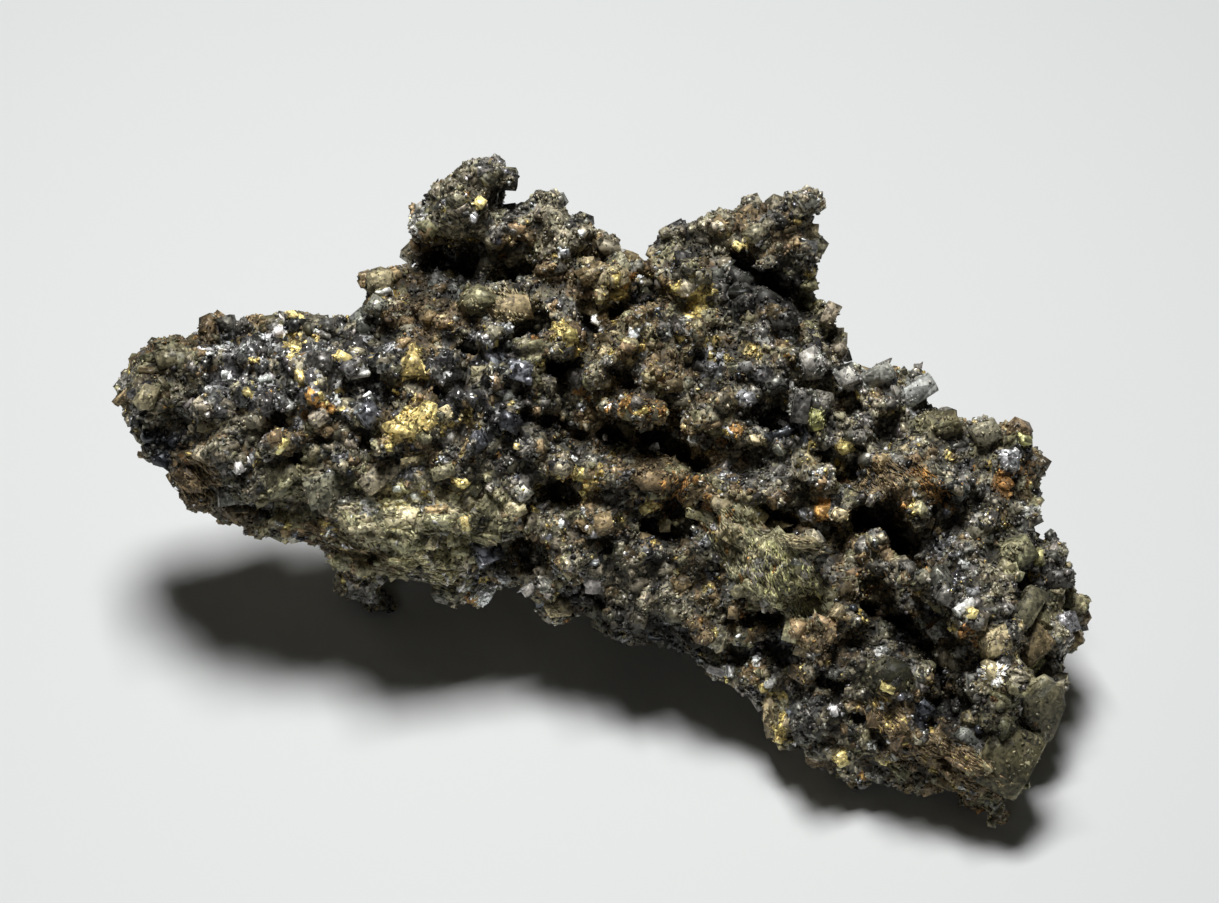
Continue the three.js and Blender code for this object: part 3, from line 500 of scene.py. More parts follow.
    ("brown end", "block", "brown", 45.3, -18.2, 1.0, 1.0, 0.9, 30, 0.45),
    ("olive slab on right", "slab", "olive", 40.8, -15.4, 2.4, 1.1, 1.1, 38, 0.3),
    ("brown block with a straight edge", "slab", "brown", 41.1, -18.5, 2.1, 1.8, 1.4, -50, 0.45),
    ("yellow green crystal", "wedge", "lime", 41.4, -21.2, 1.3, 1.3, 2.0, 180, 0.6),
    ("tan dome on right", "ball", "tan", 37.7, -18.5, 2.0, 2.3, 1.7, 0, 0.42),
    ("ball with a star", "ball", "tan", 38.0, -21.7, 2.0, 1.8, 2.0, 0, 0.45),
    ("cream cube", "crystal", "white", 36.1, -21.5, 0.3, 0.3, 0.3, 0, 0.8),
    ("pale bead in hollow", "ball", "pale", 34.2, -19.6, 0.6, 0.7, 0.6, 0, 0.8),
    ("pinkish bead", "crystal", "white", 31.9, -17.2, 0.45, 0.35, 0.35, 0, 0.8),
    ("upper smooth slab", "slab", "olive", 41.5, -25.4, 2.6, 2.9, 1.5, -15, 0.1),
    ("lower smooth slab", "slab", "olive", 39.0, -30.0, 2.8, 3.4, 1.8, -20, 0.08),
    ("white spot", "crystal", "white", 40.1, -25.1, 0.4, 0.35, 0.3, 0, 0.9),
    ("green slab", "block", "pale", 35.0, -28.3, 0.8, 1.5, 0.7, 37, 0.35),
    ("tan ball", "ball", "tan", 35.3, -26.2, 1.1, 1.0, 0.9, 0, 0.4),
    ("slate facet", "block", "blue", 30.5, -25.3, 1.2, 1.1, 0.9, 30, 0.15),
    ("tan dome of lower right", "ball", "olive", 27.7, -21.6, 2.6, 2.0, 1.3, -15, 0.12),
    ("gold on dome", "block", "brass", 27.2, -23.2, 0.8, 0.3, 0.4, -15, 1.0),
    # Painted highlight: a white crystal put where a glint is
    ("blue white glint", "block", "white", 26.7, -19.5, 0.7, 0.35, 0.4, -10, 0.7),
    ("pale cube", "block", "pale", 19.9, -16.5, 0.42, 0.42, 0.4, 20, 0.95),
    ("grey tan wedge", "wedge", "tan", 22.4, -15.6, 1.0, 0.8, 0.8, 0, 0.4),
    ("white cube", "block", "white", 14.3, -20.3, 0.35, 0.35, 0.35, 10, 1.0),
    ("oval shard", "rod", "pale", 10.4, -21.4, 1.0, 0.55, 0.4, -20, 0.3),
    ("yellow lump of lower edge", "ball", "tan", 15.9, -25.8, 1.2, 2.8, 1.3, 4, 0.3),
    ("cream top of yellow lump", "ball", "pale", 15.6, -22.8, 0.7, 0.6, 0.6, 0, 0.85),
    ("white crystal of dark lump", "block", "white", 22.0, -25.4, 0.38, 0.55, 0.35, 15, 1.0),
    ("golden tan crystal", "block", "brass", 22.6, -30.1, 0.6, 0.75, 0.5, 20, 0.7),
    ("grey lump of ledge", "ball", "silver", -12.2, -14.0, 1.8, 1.2, 1.2, 25, 0.2),
    ("upper grey lump", "ball", "silver", -10.3, -12.3, 1.0, 0.9, 0.9, 0, 0.25),
    ("small lump of ledge", "ball", "pale", -9.4, -14.0, 1.0, 0.8, 0.8, 0, 0.4),
    ("round lump of ledge", "ball", "tan", -5.0, -15.1, 1.9, 1.7, 1.4, 0, 0.35),
    ("grey block of ledge", "block", "pale", -1.5, -13.0, 0.9, 1.0, 0.8, 10, 0.4),
    ("foot lump", "ball", "pale", -24.2, -14.0, 2.5, 1.3, 1.3, 0, 0.4),
    ("dark facet over ledge", "block", "blue", -11.8, -9.8, 1.4, 1.2, 0.9, 25, 0.35),
    ("grey ball in cave", "ball", "pale", 4.4, 0.5, 0.6, 0.6, 0.6, 0, 0.6),
    ("pink bead by cave", "ball", "pale", -0.4, 1.4, 0.38, 0.4, 0.4, 0, 0.8),
    ("pale lump by cave", "ball", "pale", 8.2, 1.1, 0.8, 0.8, 0.7, 0, 0.55),
    ("gold and white crystal", "block", "brass", 3.9, -5.5, 1.0, 0.5, 0.5, 30, 1.0),
    ("tan and orange lump", "ball", "tan", 10.9, -5.2, 1.3, 1.2, 0.9, 0, 0.45),
    ("tan top of block", "ball", "tan", 18.8, -8.9, 2.1, 0.8, 0.9, -14, 0.35),
    ("grey olive end of zone", "slab", "olive", 20.5, -15.6, 1.9, 1.5, 1.2, -40, 0.35),
    ("smooth plane of left lobe", "slab", "grey", -27.2, -3.4, 2.8, 1.6, 1.0, 32, 0.3),
    ("plane of folded ledge", "ball", "brown", -41.0, -2.4, 2.7, 2.0, 1.3, -20, 0.3),
    ("plane under glossy cluster", "slab", "grey", -22.6, -2.4, 2.0, 1.1, 0.8, 20, 0.32),
    ("brown dome of middle", "ball", "brown", 4.2, -2.8, 2.6, 1.6, 1.0, -10, 0.25),
    ("plane of left tip", "ball", "olive", -45.4, 5.4, 1.9, 1.7, 1.0, 35, 0.4),
    ("white rosette", "ball", "white", 37.8, -21.8, 1.6, 1.5, 3.0, 0, 0.35),
    ("left part of tan block", "ball", "olive", -12.9, 14.9, 2.4, 1.8, 1.7, 20, 0.2),
    ("brightest gold", "ball", "brass", -20.4, 2.2, 2.5, 1.2, 0.9, 15, 0.7),
    ("upper end of brightest gold", "ball", "brass", -17.9, 3.9, 1.3, 1.6, 0.9, -15, 0.75),
    ("tan wedge over block", "wedge", "tan", 16.9, -7.2, 0.5, 1.1, 0.6, -90, 0.5),
)]

# Splinters and thin layers: their place, its half sizes and twist, then their direction, length and count
Fibres = namedtuple("Fibres", "what mineral across up half_width half_height twist direction length count")
FIBRES = [Fibres(*row) for row in (
    ("bright needles of olive block", "lime", 17.0, -12.4, 4.6, 2.4, -44, -72, 1.6, 170),
    ("fibres of olive block", "olive", 15.6, -11.4, 7.6, 3.5, -46, -62, 1.7, 380),
    ("fibres of golden stain", "rust", 6.1, -4.0, 1.4, 2.4, -30, 60, 1.6, 80),
    ("layers under olive band", "olive", -17.4, -12.0, 5.0, 1.4, -12, -12, 2.2, 170),
    ("layers of left lobe", "brown", -25.5, -9.3, 5.5, 1.4, -22, -22, 2.4, 160),
    ("layers of olive band", "olive", -19.5, -7.7, 7.0, 3.8, -12, -15, 1.3, 60),
    ("fibres of tan block", "tan", -10.4, 14.4, 3.0, 1.8, -6, -65, 1.1, 90),
    ("fibres of folded ledge", "brown", -41.0, -3.0, 2.8, 2.8, 0, -60, 1.6, 120),
    ("fibres of orange ridge", "rust", 31.9, -3.6, 2.8, 0.9, -45, -55, 1.4, 110),
    ("fibres of brown lobe", "brown", 26.5, -2.6, 3.2, 1.9, 0, -50, 1.6, 150),
    ("fibres of golden olive knob", "lime", 20.3, 3.1, 1.0, 1.3, 0, 80, 1.0, 50),
    ("fibres of lower end", "brown", 34.5, -31.0, 4.5, 2.4, -35, -35, 1.8, 200),
    ("fibres of fibrous brown", "brown", 26.9, -25.9, 2.0, 2.2, 0, -50, 1.6, 90),
    ("layers of tan top", "tan", 18.8, -8.9, 2.5, 0.8, -14, -14, 2.0, 70),
    ("ridges of grey lump", "silver", -12.2, -14.0, 1.7, 1.2, 25, 50, 1.2, 50),
    ("rays of star", "white", 37.8, -21.8, 1.2, 1.1, 0, "away", 1.3, 60),
)]

# Dark crevices of the display face: half width, depth, then places along it
Crevice = namedtuple("Crevice", "half_width depth path")
CREVICES = [Crevice(*row) for row in (
    (0.8, 3.0, [(20.6, -12.6), (23.5, -15.0), (28.4, -16.5), (31.3, -19.4), (32.8, -24.3), (33.4, -25.6)]),
    (1.6, 3.6, [(24.6, -6.6), (26.8, -7.6), (28.8, -9.4)]),
    (0.7, 3.0, [(33.0, -4.6), (36.5, -5.2)]),
    (0.8, 2.5, [(14.7, -5.4), (17.7, -7.0)]),
    (0.9, 2.4, [(3.6, -7.4), (7.0, -8.4)]),
    (1.0, 3.5, [(-0.3, 1.9), (2.5, 2.1), (4.8, 1.2)]),
    (1.0, 3.5, [(5.9, 0.2), (8.7, -1.6)]),
    (0.9, 3.0, [(3.7, 15.6), (0.2, 13.4)]),
    (0.7, 2.5, [(-2.2, 14.2), (-1.9, 11.0), (-1.9, 9.2)]),
    (0.9, 3.0, [(-6.4, 8.2), (-3.2, 8.2)]),
    (0.7, 2.5, [(13.2, -16.7), (16.3, -15.9)]),
    (0.9, 3.5, [(37.6, -12.6), (42.1, -13.3)]),
    (0.8, 3.0, [(-2.6, -13.0), (-0.9, -15.4)]),
    (1.1, 2.5, [(12.6, 18.6), (16.2, 16.2)]),
    (0.9, 3.0, [(-9.8, 17.2), (-7.6, 18.0)]),
    (0.8, 2.0, [(-2.8, 20.6), (-1.3, 18.9)]),
    (1.7, 4.0, [(-18.2, 18.9), (-16.0, 19.4), (-13.6, 18.6)]),
    (0.6, 2.5, [(24.2, -26.0), (27.0, -28.8)]),
    (0.6, 2.5, [(19.8, -21.3), (22.6, -23.3)]),
    (0.7, 2.0, [(-34.6, -4.0), (-31.4, -1.0), (-27.8, 1.2)]),
    (1.3, 3.0, [(32.0, -25.4), (33.6, -24.6)]),
    (0.7, 2.5, [(-6.2, 3.4), (-2.8, 1.6)]),
    (0.6, 2.0, [(-10.2, 2.7), (-7.9, 3.4)]),
    (0.6, 2.0, [(0.5, 8.0), (2.0, 6.6)]),
    (0.6, 2.0, [(16.5, 5.5), (16.9, 3.9)]),
    (0.7, 2.0, [(-5.4, -4.4), (-4.6, -4.4)]),
    (0.5, 2.0, [(10.2, 11.9), (11.8, 12.2)]),
    (0.6, 2.0, [(21.3, -2.3), (22.5, -2.5)]),
    (0.5, 2.0, [(1.4, 14.4), (3.3, 15.3)]),
    (0.6, 2.0, [(31.9, -6.8), (31.9, -5.6)]),
    (0.5, 2.0, [(16.3, 16.9), (17.4, 15.5)]),
    (0.6, 2.0, [(22.4, -24.0), (23.2, -22.9)]),
)]


# Repeatable noise

def cell_number(cells, seed):
    """A number from 0 to 1 that belongs to each whole-number cell."""
    mixed = cells[..., 0] * 73856093 ^ cells[..., 1] * 19349663 ^ cells[..., 2] * 83492791 ^ (seed * 40503)
    mixed = (mixed ^ (mixed >> 13)) * 1274126177
    mixed = mixed ^ (mixed >> 16)
    return (mixed & 0xFFFFF) / 0xFFFFF


def smooth_noise(points, size, seed):
    """Soft noise from -1 to 1 with features of the given size."""
    scaled = points / size
    low = np.floor(scaled).astype(np.int64)
    part = scaled - low
    part = part * part * (3 - 2 * part)
    total = np.zeros(len(points))
    for corner in CUBE > 0:
        share = np.abs(1 - corner - part).prod(axis=1)
        total += share * cell_number(low + corner, seed)
    return 2 * total - 1


def tilted_facets(points, size, seed):
    """A relief of flat facets, each tilted its own way, about from -1 to 1 times the size."""
    scaled = points / size
    low = np.floor(scaled).astype(np.int64)
    nearest = np.full(len(points), np.inf)
    height = np.zeros(len(points))
    for step in np.ndindex(3, 3, 3):
        cell = low + np.array(step) - 1
        centre = cell + np.stack([cell_number(cell, seed + k) for k in (1, 2, 3)], axis=1)
        slope = 2 * np.stack([cell_number(cell, seed + k) for k in (5, 6, 7)], axis=1) - 1
        offset = scaled - centre
        distance = np.linalg.norm(offset, axis=1)
        closer = distance < nearest
        nearest[closer] = distance[closer]
        height[closer] = (offset * slope).sum(axis=1)[closer]
    return height * size


# Meshes as arrays

def read_mesh(mesh):
    """The points and triangles of a mesh."""
    points = np.empty(len(mesh.vertices) * 3)
    mesh.vertices.foreach_get("co", points)
    mesh.calc_loop_triangles()
    triangles = np.empty(len(mesh.loop_triangles) * 3, dtype=np.int64)
    mesh.loop_triangles.foreach_get("vertices", triangles)
    return points.reshape(-1, 3), triangles.reshape(-1, 3)


def write_mesh(name, points, triangles):
    """A new mesh from points and triangles."""
    mesh = bpy.data.meshes.new(name)
    mesh.vertices.add(len(points))
    mesh.vertices.foreach_set("co", np.asarray(points, dtype=np.float32).ravel())
    mesh.loops.add(triangles.size)
    mesh.loops.foreach_set("vertex_index", triangles.astype(np.int32).ravel())
    mesh.polygons.add(len(triangles))
    mesh.polygons.foreach_set("loop_start", np.arange(0, triangles.size, 3, dtype=np.int32))
    mesh.update(calc_edges=True)
    return mesh


def through_modifier(points, triangles, kind, **settings):
    """The points and triangles after one modifier with the given settings."""
    thing = bpy.data.objects.new("scratch", write_mesh("scratch", points, triangles))
    bpy.context.scene.collection.objects.link(thing)
    modifier = thing.modifiers.new(kind, kind)
    for key, value in settings.items():
        setattr(modifier, key, value)
    shaped = bpy.data.meshes.new_from_object(thing.evaluated_get(bpy.context.evaluated_depsgraph_get()))
    made = read_mesh(shaped)
    first = thing.data
    bpy.data.objects.remove(thing)
    bpy.data.meshes.remove(first)
    bpy.data.meshes.remove(shaped)
    return made


def remeshed(points, triangles, voxel):
    """One closed skin round everything."""
    return through_modifier(points, triangles, "REMESH", mode="VOXEL", voxel_size=voxel)


def smoothed_points(points, triangles, steps):
    """The points after the surface is smoothed."""
    return through_modifier(points, triangles, "SMOOTH", factor=SMOOTHING, iterations=steps)[0]


def tree_of(points, triangles):
    """A surface as a tree, for finding what a ray meets and what is nearest."""
    return BVHTree.FromPolygons(points.tolist(), triangles.tolist())


def joined_pieces(pieces):
    """Pairs of points and triangles as one pair."""
    starts = np.cumsum([0] + [len(points) for points, _ in pieces])
    points = np.vstack([points for points, _ in pieces])
    return points, np.vstack([triangles + start for (_, triangles), start in zip(pieces, starts)])


def triangle_normals(points, triangles):
    """The unit normal and the area of each triangle."""
    corners = points[triangles]
    cross = np.cross(corners[:, 1] - corners[:, 0], corners[:, 2] - corners[:, 0])
    length = np.linalg.norm(cross, axis=1)
    return cross / np.maximum(length, 1e-12)[:, None], length / 2


def point_normals(points, triangles):
    """The unit normal at each point."""
    normals, areas = triangle_normals(points, triangles)
    total = np.zeros_like(points)
    for corner in range(3):
        for axis in range(3):
            total[:, axis] += np.bincount(triangles[:, corner], normals[:, axis] * areas, len(points))
    return total / np.maximum(np.linalg.norm(total, axis=1), 1e-12)[:, None]


def scatter_on(points, triangles, weights, count):
    """Places spread over the surface, with the normal there and the triangle that each is on."""
    normals, areas = triangle_normals(points, triangles)
    chance = areas * weights
    chosen = rng.choice(len(triangles), count, p=chance / chance.sum())
    first = rng.random(count)
    second = rng.random(count)
    over = first + second > 1
    first[over] = 1 - first[over]
    second[over] = 1 - second[over]
    corners = points[triangles[chosen]]
    sides = corners[:, 1:] - corners[:, :1]
    places = corners[:, 0] + sides[:, 0] * first[:, None] + sides[:, 1] * second[:, None]
    return places, normals[chosen], chosen


# Small solid shapes, each in a box from -1 to 1

def hull(corners):
    """The points and triangles of the convex solid round some corners."""
    solid = bmesh.new()
    for corner in corners:
        solid.verts.new(corner)
    bmesh.ops.convex_hull(solid, input=solid.verts)
    bmesh.ops.delete(solid, geom=[v for v in solid.verts if not v.link_faces], context="VERTS")
    bmesh.ops.triangulate(solid, faces=solid.faces)
    bmesh.ops.recalc_face_normals(solid, faces=solid.faces)
    solid.verts.index_update()
    points = np.array([v.co for v in solid.verts])
    triangles = np.array([[v.index for v in face.verts] for face in solid.faces])
    solid.free()
    return points, triangles


def uneven_hull(corners, low, high):
    """The convex solid round corners that are each moved a little."""
    return hull(corners * rng.uniform(low, high, corners.shape))


def ball_corners(count):
    """Corners spread over a rough ball of radius 1."""
    corners = rng.normal(size=(count, 3))
    corners /= np.linalg.norm(corners, axis=1)[:, None]
    return corners * rng.uniform(0.85, 1.0, count)[:, None]


def cut_cube_corners(cuts, size, depth=(0.4, 1.3)):
    """The corners of a cube of which some were cut off."""
    corners = []
    cut_off = rng.choice(8, cuts, replace=False)
    for number, corner in enumerate(CUBE):
        if number not in cut_off:
            corners.append(corner)
            continue
        for axis in range(3):
            moved = corner.copy()
            moved[axis] *= 1 - rng.uniform(*depth)
            corners.append(moved)
    return np.array(corners) * size


def grain_shape():
    return hull(ball_corners(7))


def ball_shape():
    """A rounded knob with broken sides."""
    corners = ball_corners(17)
    return hull(corners * rng.uniform(0.8, 1.08, (17, 1)))


def lump_shape():
    """An angular broken lump or blunt block."""
    if rng.random() < 0.2:
        return hull(ball_corners(rng.integers(7, 11)))
    return uneven_hull(cut_cube_corners(rng.integers(1, 4), 0.68), 0.8, 1.1)


def block_shape():
    """A block with flat sides and a cut corner or two."""
    return uneven_hull(cut_cube_corners(rng.integers(1, 3), 0.9, (0.2, 0.5)), 0.84, 1.08)


def slab_shape():
    """A rounded block with a few broad planes."""
    return uneven_hull(cut_cube_corners(8, 0.95, (0.2, 0.6)), 0.88, 1.05)


def layers(outline, levels):
    """An outline repeated at some heights, each time scaled."""
    return np.vstack([np.column_stack([outline * scale, np.full(len(outline), z)]) for scale, z in levels])


def wedge_shape():
    """A three-sided block that narrows upward."""
    outline = np.array([(0.0, 1.0), (-1.0, -0.9), (1.0, -0.8)])
    return hull(layers(outline, ((1, -1), (0.85, 0.8))))


def rod_shape():
    """A six-sided rod along its first axis."""
    angles = np.arange(6) * math.pi / 3 + 0.2
    ring = np.stack([np.cos(angles), np.sin(angles)], axis=1)
    ends = layers(ring, ((0.5, -1), (0.95, -0.8), (0.9, 0.85), (0.4, 1)))
    return hull(ends[:, [2, 0, 1]])


def splinter_shape():
    """A thin splinter along its first axis."""
    middle = [(rng.uniform(-0.4, 0.4), y, z) for y, z in ((-1, -0.5), (1, -0.5), (0.7, 0.6), (-0.7, 0.6))]
    return hull(np.array([(-1, 0, 0), (1, 0.2, 0)] + middle))


def plate_shape():
    """A flat chip with five or six sides."""
    sides = rng.integers(5, 7)
    angles = np.sort(rng.uniform(0, 2 * math.pi, sides))
    rim = np.stack([np.cos(angles), np.sin(angles)], axis=1) * rng.uniform(0.75, 1.0, sides)[:, None]
    return hull(layers(rim, ((0.85, 0.3), (1, -0.3))))


def crystal_shape():
    """A blocky crystal: a cube, an octahedron or a tetrahedron with its corners cut, none quite regular."""
    kind = rng.integers(3)
    if kind == 0:
        corners = CUBE * 0.75
    elif kind == 1:
        corners = np.vstack([np.eye(3), -np.eye(3)]) * 1.05
    else:
        tips = CUBE[[0, 3, 5, 6]]
        corners = np.vstack([tips * 0.74 + np.roll(tips, -turn, axis=0) * 0.2 for turn in (1, 2, 3)])
    return uneven_hull(corners, 0.85, 1.1)


SHAPES = {
    "grain": [grain_shape() for _ in range(14)],
    "plate": [plate_shape() for _ in range(10)],
    "crystal": [crystal_shape() for _ in range(16)],
    "lump": [lump_shape() for _ in range(40)],
    "ball": [ball_shape() for _ in range(4)],
    "block": [block_shape() for _ in range(12)],
    "wedge": [wedge_shape()],
    "rod": [rod_shape()],
    "splinter": [splinter_shape() for _ in range(8)],
    "slab": [slab_shape() for _ in range(6)],
}


def random_turns(count, spread=None):
    """Random rotations: any at all, or small ones about as large as the spread."""
    q = rng.normal(size=(count, 4))
    if spread is not None:
        q[:, 0] = 1
        q[:, 1:] *= spread / 2
    w, x, y, z = (q / np.linalg.norm(q, axis=1)[:, None]).T
    rows = [
        [1 - 2 * (y * y + z * z), 2 * (x * y - z * w), 2 * (x * z + y * w)],
        [2 * (x * y + z * w), 1 - 2 * (x * x + z * z), 2 * (y * z - x * w)],
        [2 * (x * z - y * w), 2 * (y * z + x * w), 1 - 2 * (x * x + y * y)],
    ]
    return np.array(rows).transpose(2, 0, 1)


def laid_turns(normals, directions, spread):
    """Slightly uneven rotations that lay things on the surface, along directions in degrees on the face."""
    angles = np.radians(directions)
    wished = ACROSS * np.cos(angles)[:, None] + UP * np.sin(angles)[:, None]
    along = wished - normals * (wished * normals).sum(axis=1)[:, None]
    along /= np.maximum(np.linalg.norm(along, axis=1), 1e-6)[:, None]
    laid = np.stack([along, np.cross(normals, along), normals], axis=2)
    return laid @ random_turns(len(normals), spread)


# Where things are on the display face

def at_face(across, up):
    """The place on the face that is seen at across and up."""
    return FACE_ORIGIN + ACROSS * across + UP * up


def seen_surface(tree, across, up):
    """The point of the rock that the eye sees at a place on the face, and the normal there."""
    toward = at_face(across, up) - EYE
    place, normal = tree.ray_cast(Vector(EYE), Vector(toward / np.linalg.norm(toward)))[:2]
    if place is None:
        place, normal = tree.find_nearest(Vector(at_face(across, up)))[:2]
    return np.array(place), np.array(normal)


def face_axes(twist):
    """The two directions on the face that a twist in degrees turns across and up into."""
    angle = math.radians(twist)
    return ACROSS * math.cos(angle) + UP * math.sin(angle), UP * math.cos(angle) - ACROSS * math.sin(angle)


def face_strengths(points, patches, tree):
    """How strongly each patch of the display face holds each point, from 0 to 1."""
    warp = np.stack([smooth_noise(points, PATCH_WARP_SIZE, seed) for seed in (11, 12, 13)], axis=1)
    warped = points + warp * PATCH_WARP
    strengths = np.zeros((len(points), len(patches)))
    for number, patch in enumerate(patches):
        along, aside = face_axes(patch.twist)
        depth = LEAST_PATCH_DEPTH + PATCH_DEPTH_RATIO * max(patch.half_width, patch.half_height)
        offset = warped - seen_surface(tree, patch.across, patch.up)[0]
        reach = ((offset @ along) / patch.half_width) ** 2
        reach += ((offset @ aside) / patch.half_height) ** 2
        reach += ((offset @ OUT) / depth) ** 2
        strengths[:, number] = np.clip(PATCH_FULLNESS - PATCH_FALL * np.sqrt(reach), 0, 1)
    return strengths


def mineral_at(points, strengths, draw):
    """The number of the mineral at each point, by a draw from 0 to 1 for each."""
    cloud = smooth_noise(points, CLOUD_SIZE, 21)
    mix = np.tile([COMMON_MIX[name] for name in MINERAL_NAMES], (len(points), 1))
    for name, effect in CLOUD_EFFECTS.items():
        mix[:, MINERAL_NAMES.index(name)] *= np.clip(1 + effect * cloud * CLOUD_STRENGTH, *CLOUD_LIMITS)
    mix /= mix.sum(axis=1)[:, None]
    left = np.ones(len(points))
    shares = np.zeros_like(mix)
    for number in np.argsort([patch.half_width * patch.half_height for patch in PATCHES]):
        patch = PATCHES[number]
        taken = strengths[:, number] * patch.share * left
        shares[:, MINERAL_NAMES.index(patch.mineral)] += taken
        left -= taken
    shares += mix * left[:, None]
    return (shares.cumsum(axis=1) < draw[:, None]).sum(axis=1).clip(0, len(MINERAL_NAMES) - 1)


def of_minerals(field, numbers):
    """One field of the minerals with the given numbers, as an array."""
    return np.array([getattr(mineral, field) for mineral in MINERALS.values()])[numbers]


def carve_crevices(points, tree):
    """Pushes points in along the dark crevices of the display face, and tells how far."""
    depth = np.zeros(len(points))
    for crevice in CREVICES:
        path = np.array(crevice.path)
        steps = np.linspace(0, len(path) - 1, CREVICE_STEPS * (len(path) - 1) + 1)
        line = np.stack([np.interp(steps, np.arange(len(path)), path[:, k]) for k in (0, 1)], axis=1)
        seen = np.array([seen_surface(tree, across, up)[0] for across, up in line])
        uneven = 1 + CREVICE_UNEVENNESS * smooth_noise(seen, CREVICE_NOISE_SIZE, 61)
        width = CREVICE_WIDTH * crevice.half_width * uneven
        offsets = points[:, None, :] - seen[None]
        outward = offsets @ OUT
        sideways = np.linalg.norm(offsets - outward[..., None] * OUT, axis=2)
        near = np.clip(CREVICE_EDGE - sideways / width, 0, 1) * (np.abs(outward) < CREVICE_REACH)
        depth = np.maximum(depth, crevice.depth * near.max(axis=1))
    return points - OUT * depth[:, None], depth


# The things that the rock is built from

class Things:
    """Many small solids: their middles, half sizes, turns, shapes, minerals, tones and smoothness."""

    def __init__(self, middles, sizes, turns, shapes, minerals, tones, smooth):
        self.middles = middles
        self.sizes = sizes
        self.turns = turns
        self.shapes = np.array(shapes)
        self.minerals = minerals
        self.tones = tones
        self.smooth = smooth

    def chosen(self, which):
        return Things(*(values[which] for values in vars(self).values()))

    def joined(self, other):
        pairs = zip(vars(self).values(), vars(other).values())
        return Things(*(np.concatenate(pair) for pair in pairs))

    def solids(self):
        """Their points and triangles, and the thing that each triangle belongs to."""
        pieces, owners = [], []
        for name in sorted(set(self.shapes)):
            alike = np.flatnonzero(self.shapes == name)
            choice = rng.integers(len(SHAPES[name]), size=len(alike))
            for number, (points, triangles) in enumerate(SHAPES[name]):
                own = alike[choice == number]
                if not len(own):
                    continue
                scaled_turns = self.turns[own] * self.sizes[own][:, None, :]
                moved = np.einsum("nij,vj->nvi", scaled_turns, points) + self.middles[own][:, None, :]
                offsets = np.arange(len(own)) * len(points)
                copies = triangles[None] + offsets[:, None, None]
                pieces.append((moved.reshape(-1, 3), copies.reshape(-1, 3)))
                owners.append(np.repeat(own, len(triangles)))
        return *joined_pieces(pieces), np.concatenate(owners)


def on_the_front(points, triangles, boost):
    """A weight for each triangle, higher on the side that is displayed."""
    return np.where(triangle_normals(points, triangles)[0] @ OUT > FRONT_FROM, boost, 1.0)


def make_features(tree):
    """The crystals and lumps that stand out by themselves."""
    middles, turns, sizes = [], [], []
    for feature in FEATURES:
        seen = seen_surface(tree, feature.across, feature.up)[0]
        turns.append(np.column_stack([*face_axes(feature.twist), OUT]))
        sizes.append((feature.half_width, feature.half_height, feature.half_depth))
        middles.append(seen + OUT * (FEATURE_LIFT - feature.half_depth * FEATURE_SINK))
    turns = np.array(turns) @ random_turns(len(FEATURES), FEATURE_TURN)
    minerals = np.array([MINERAL_NAMES.index(feature.mineral) for feature in FEATURES])
    tones = np.array([feature.tone for feature in FEATURES])
    smooth = np.array([SMOOTHNESS[feature.shape] for feature in FEATURES])
    shapes = [feature.shape for feature in FEATURES]
    return Things(np.array(middles), np.array(sizes), turns, shapes, minerals, tones, smooth)


def inside_features(points, features):
    """Tells which points a feature takes the place of."""
    inside = np.zeros(len(points), dtype=bool)
    for middle, turn, size in zip(features.middles, features.turns, features.sizes):
        local = (points - middle) @ turn / (size + FEATURE_MARGIN)
        inside |= (local ** 2).sum(axis=1) < 1.0
    return inside


def make_core(points, triangles):
    """The CAD solid with its valleys partly filled."""
    points, triangles = remeshed(points, triangles, CORE_VOXEL)
    filled = smoothed_points(points, triangles, FILL_STEPS)
    points, triangles = remeshed(*joined_pieces([(points, triangles), (filled, triangles)]), CORE_VOXEL)
    normals = point_normals(points, triangles)
    mounds = MOUND_HEIGHT * tilted_facets(points, MOUND_SIZE, 81)
    points += normals * np.minimum(mounds, HIGHEST_MOUND)[:, None]
    return points, triangles


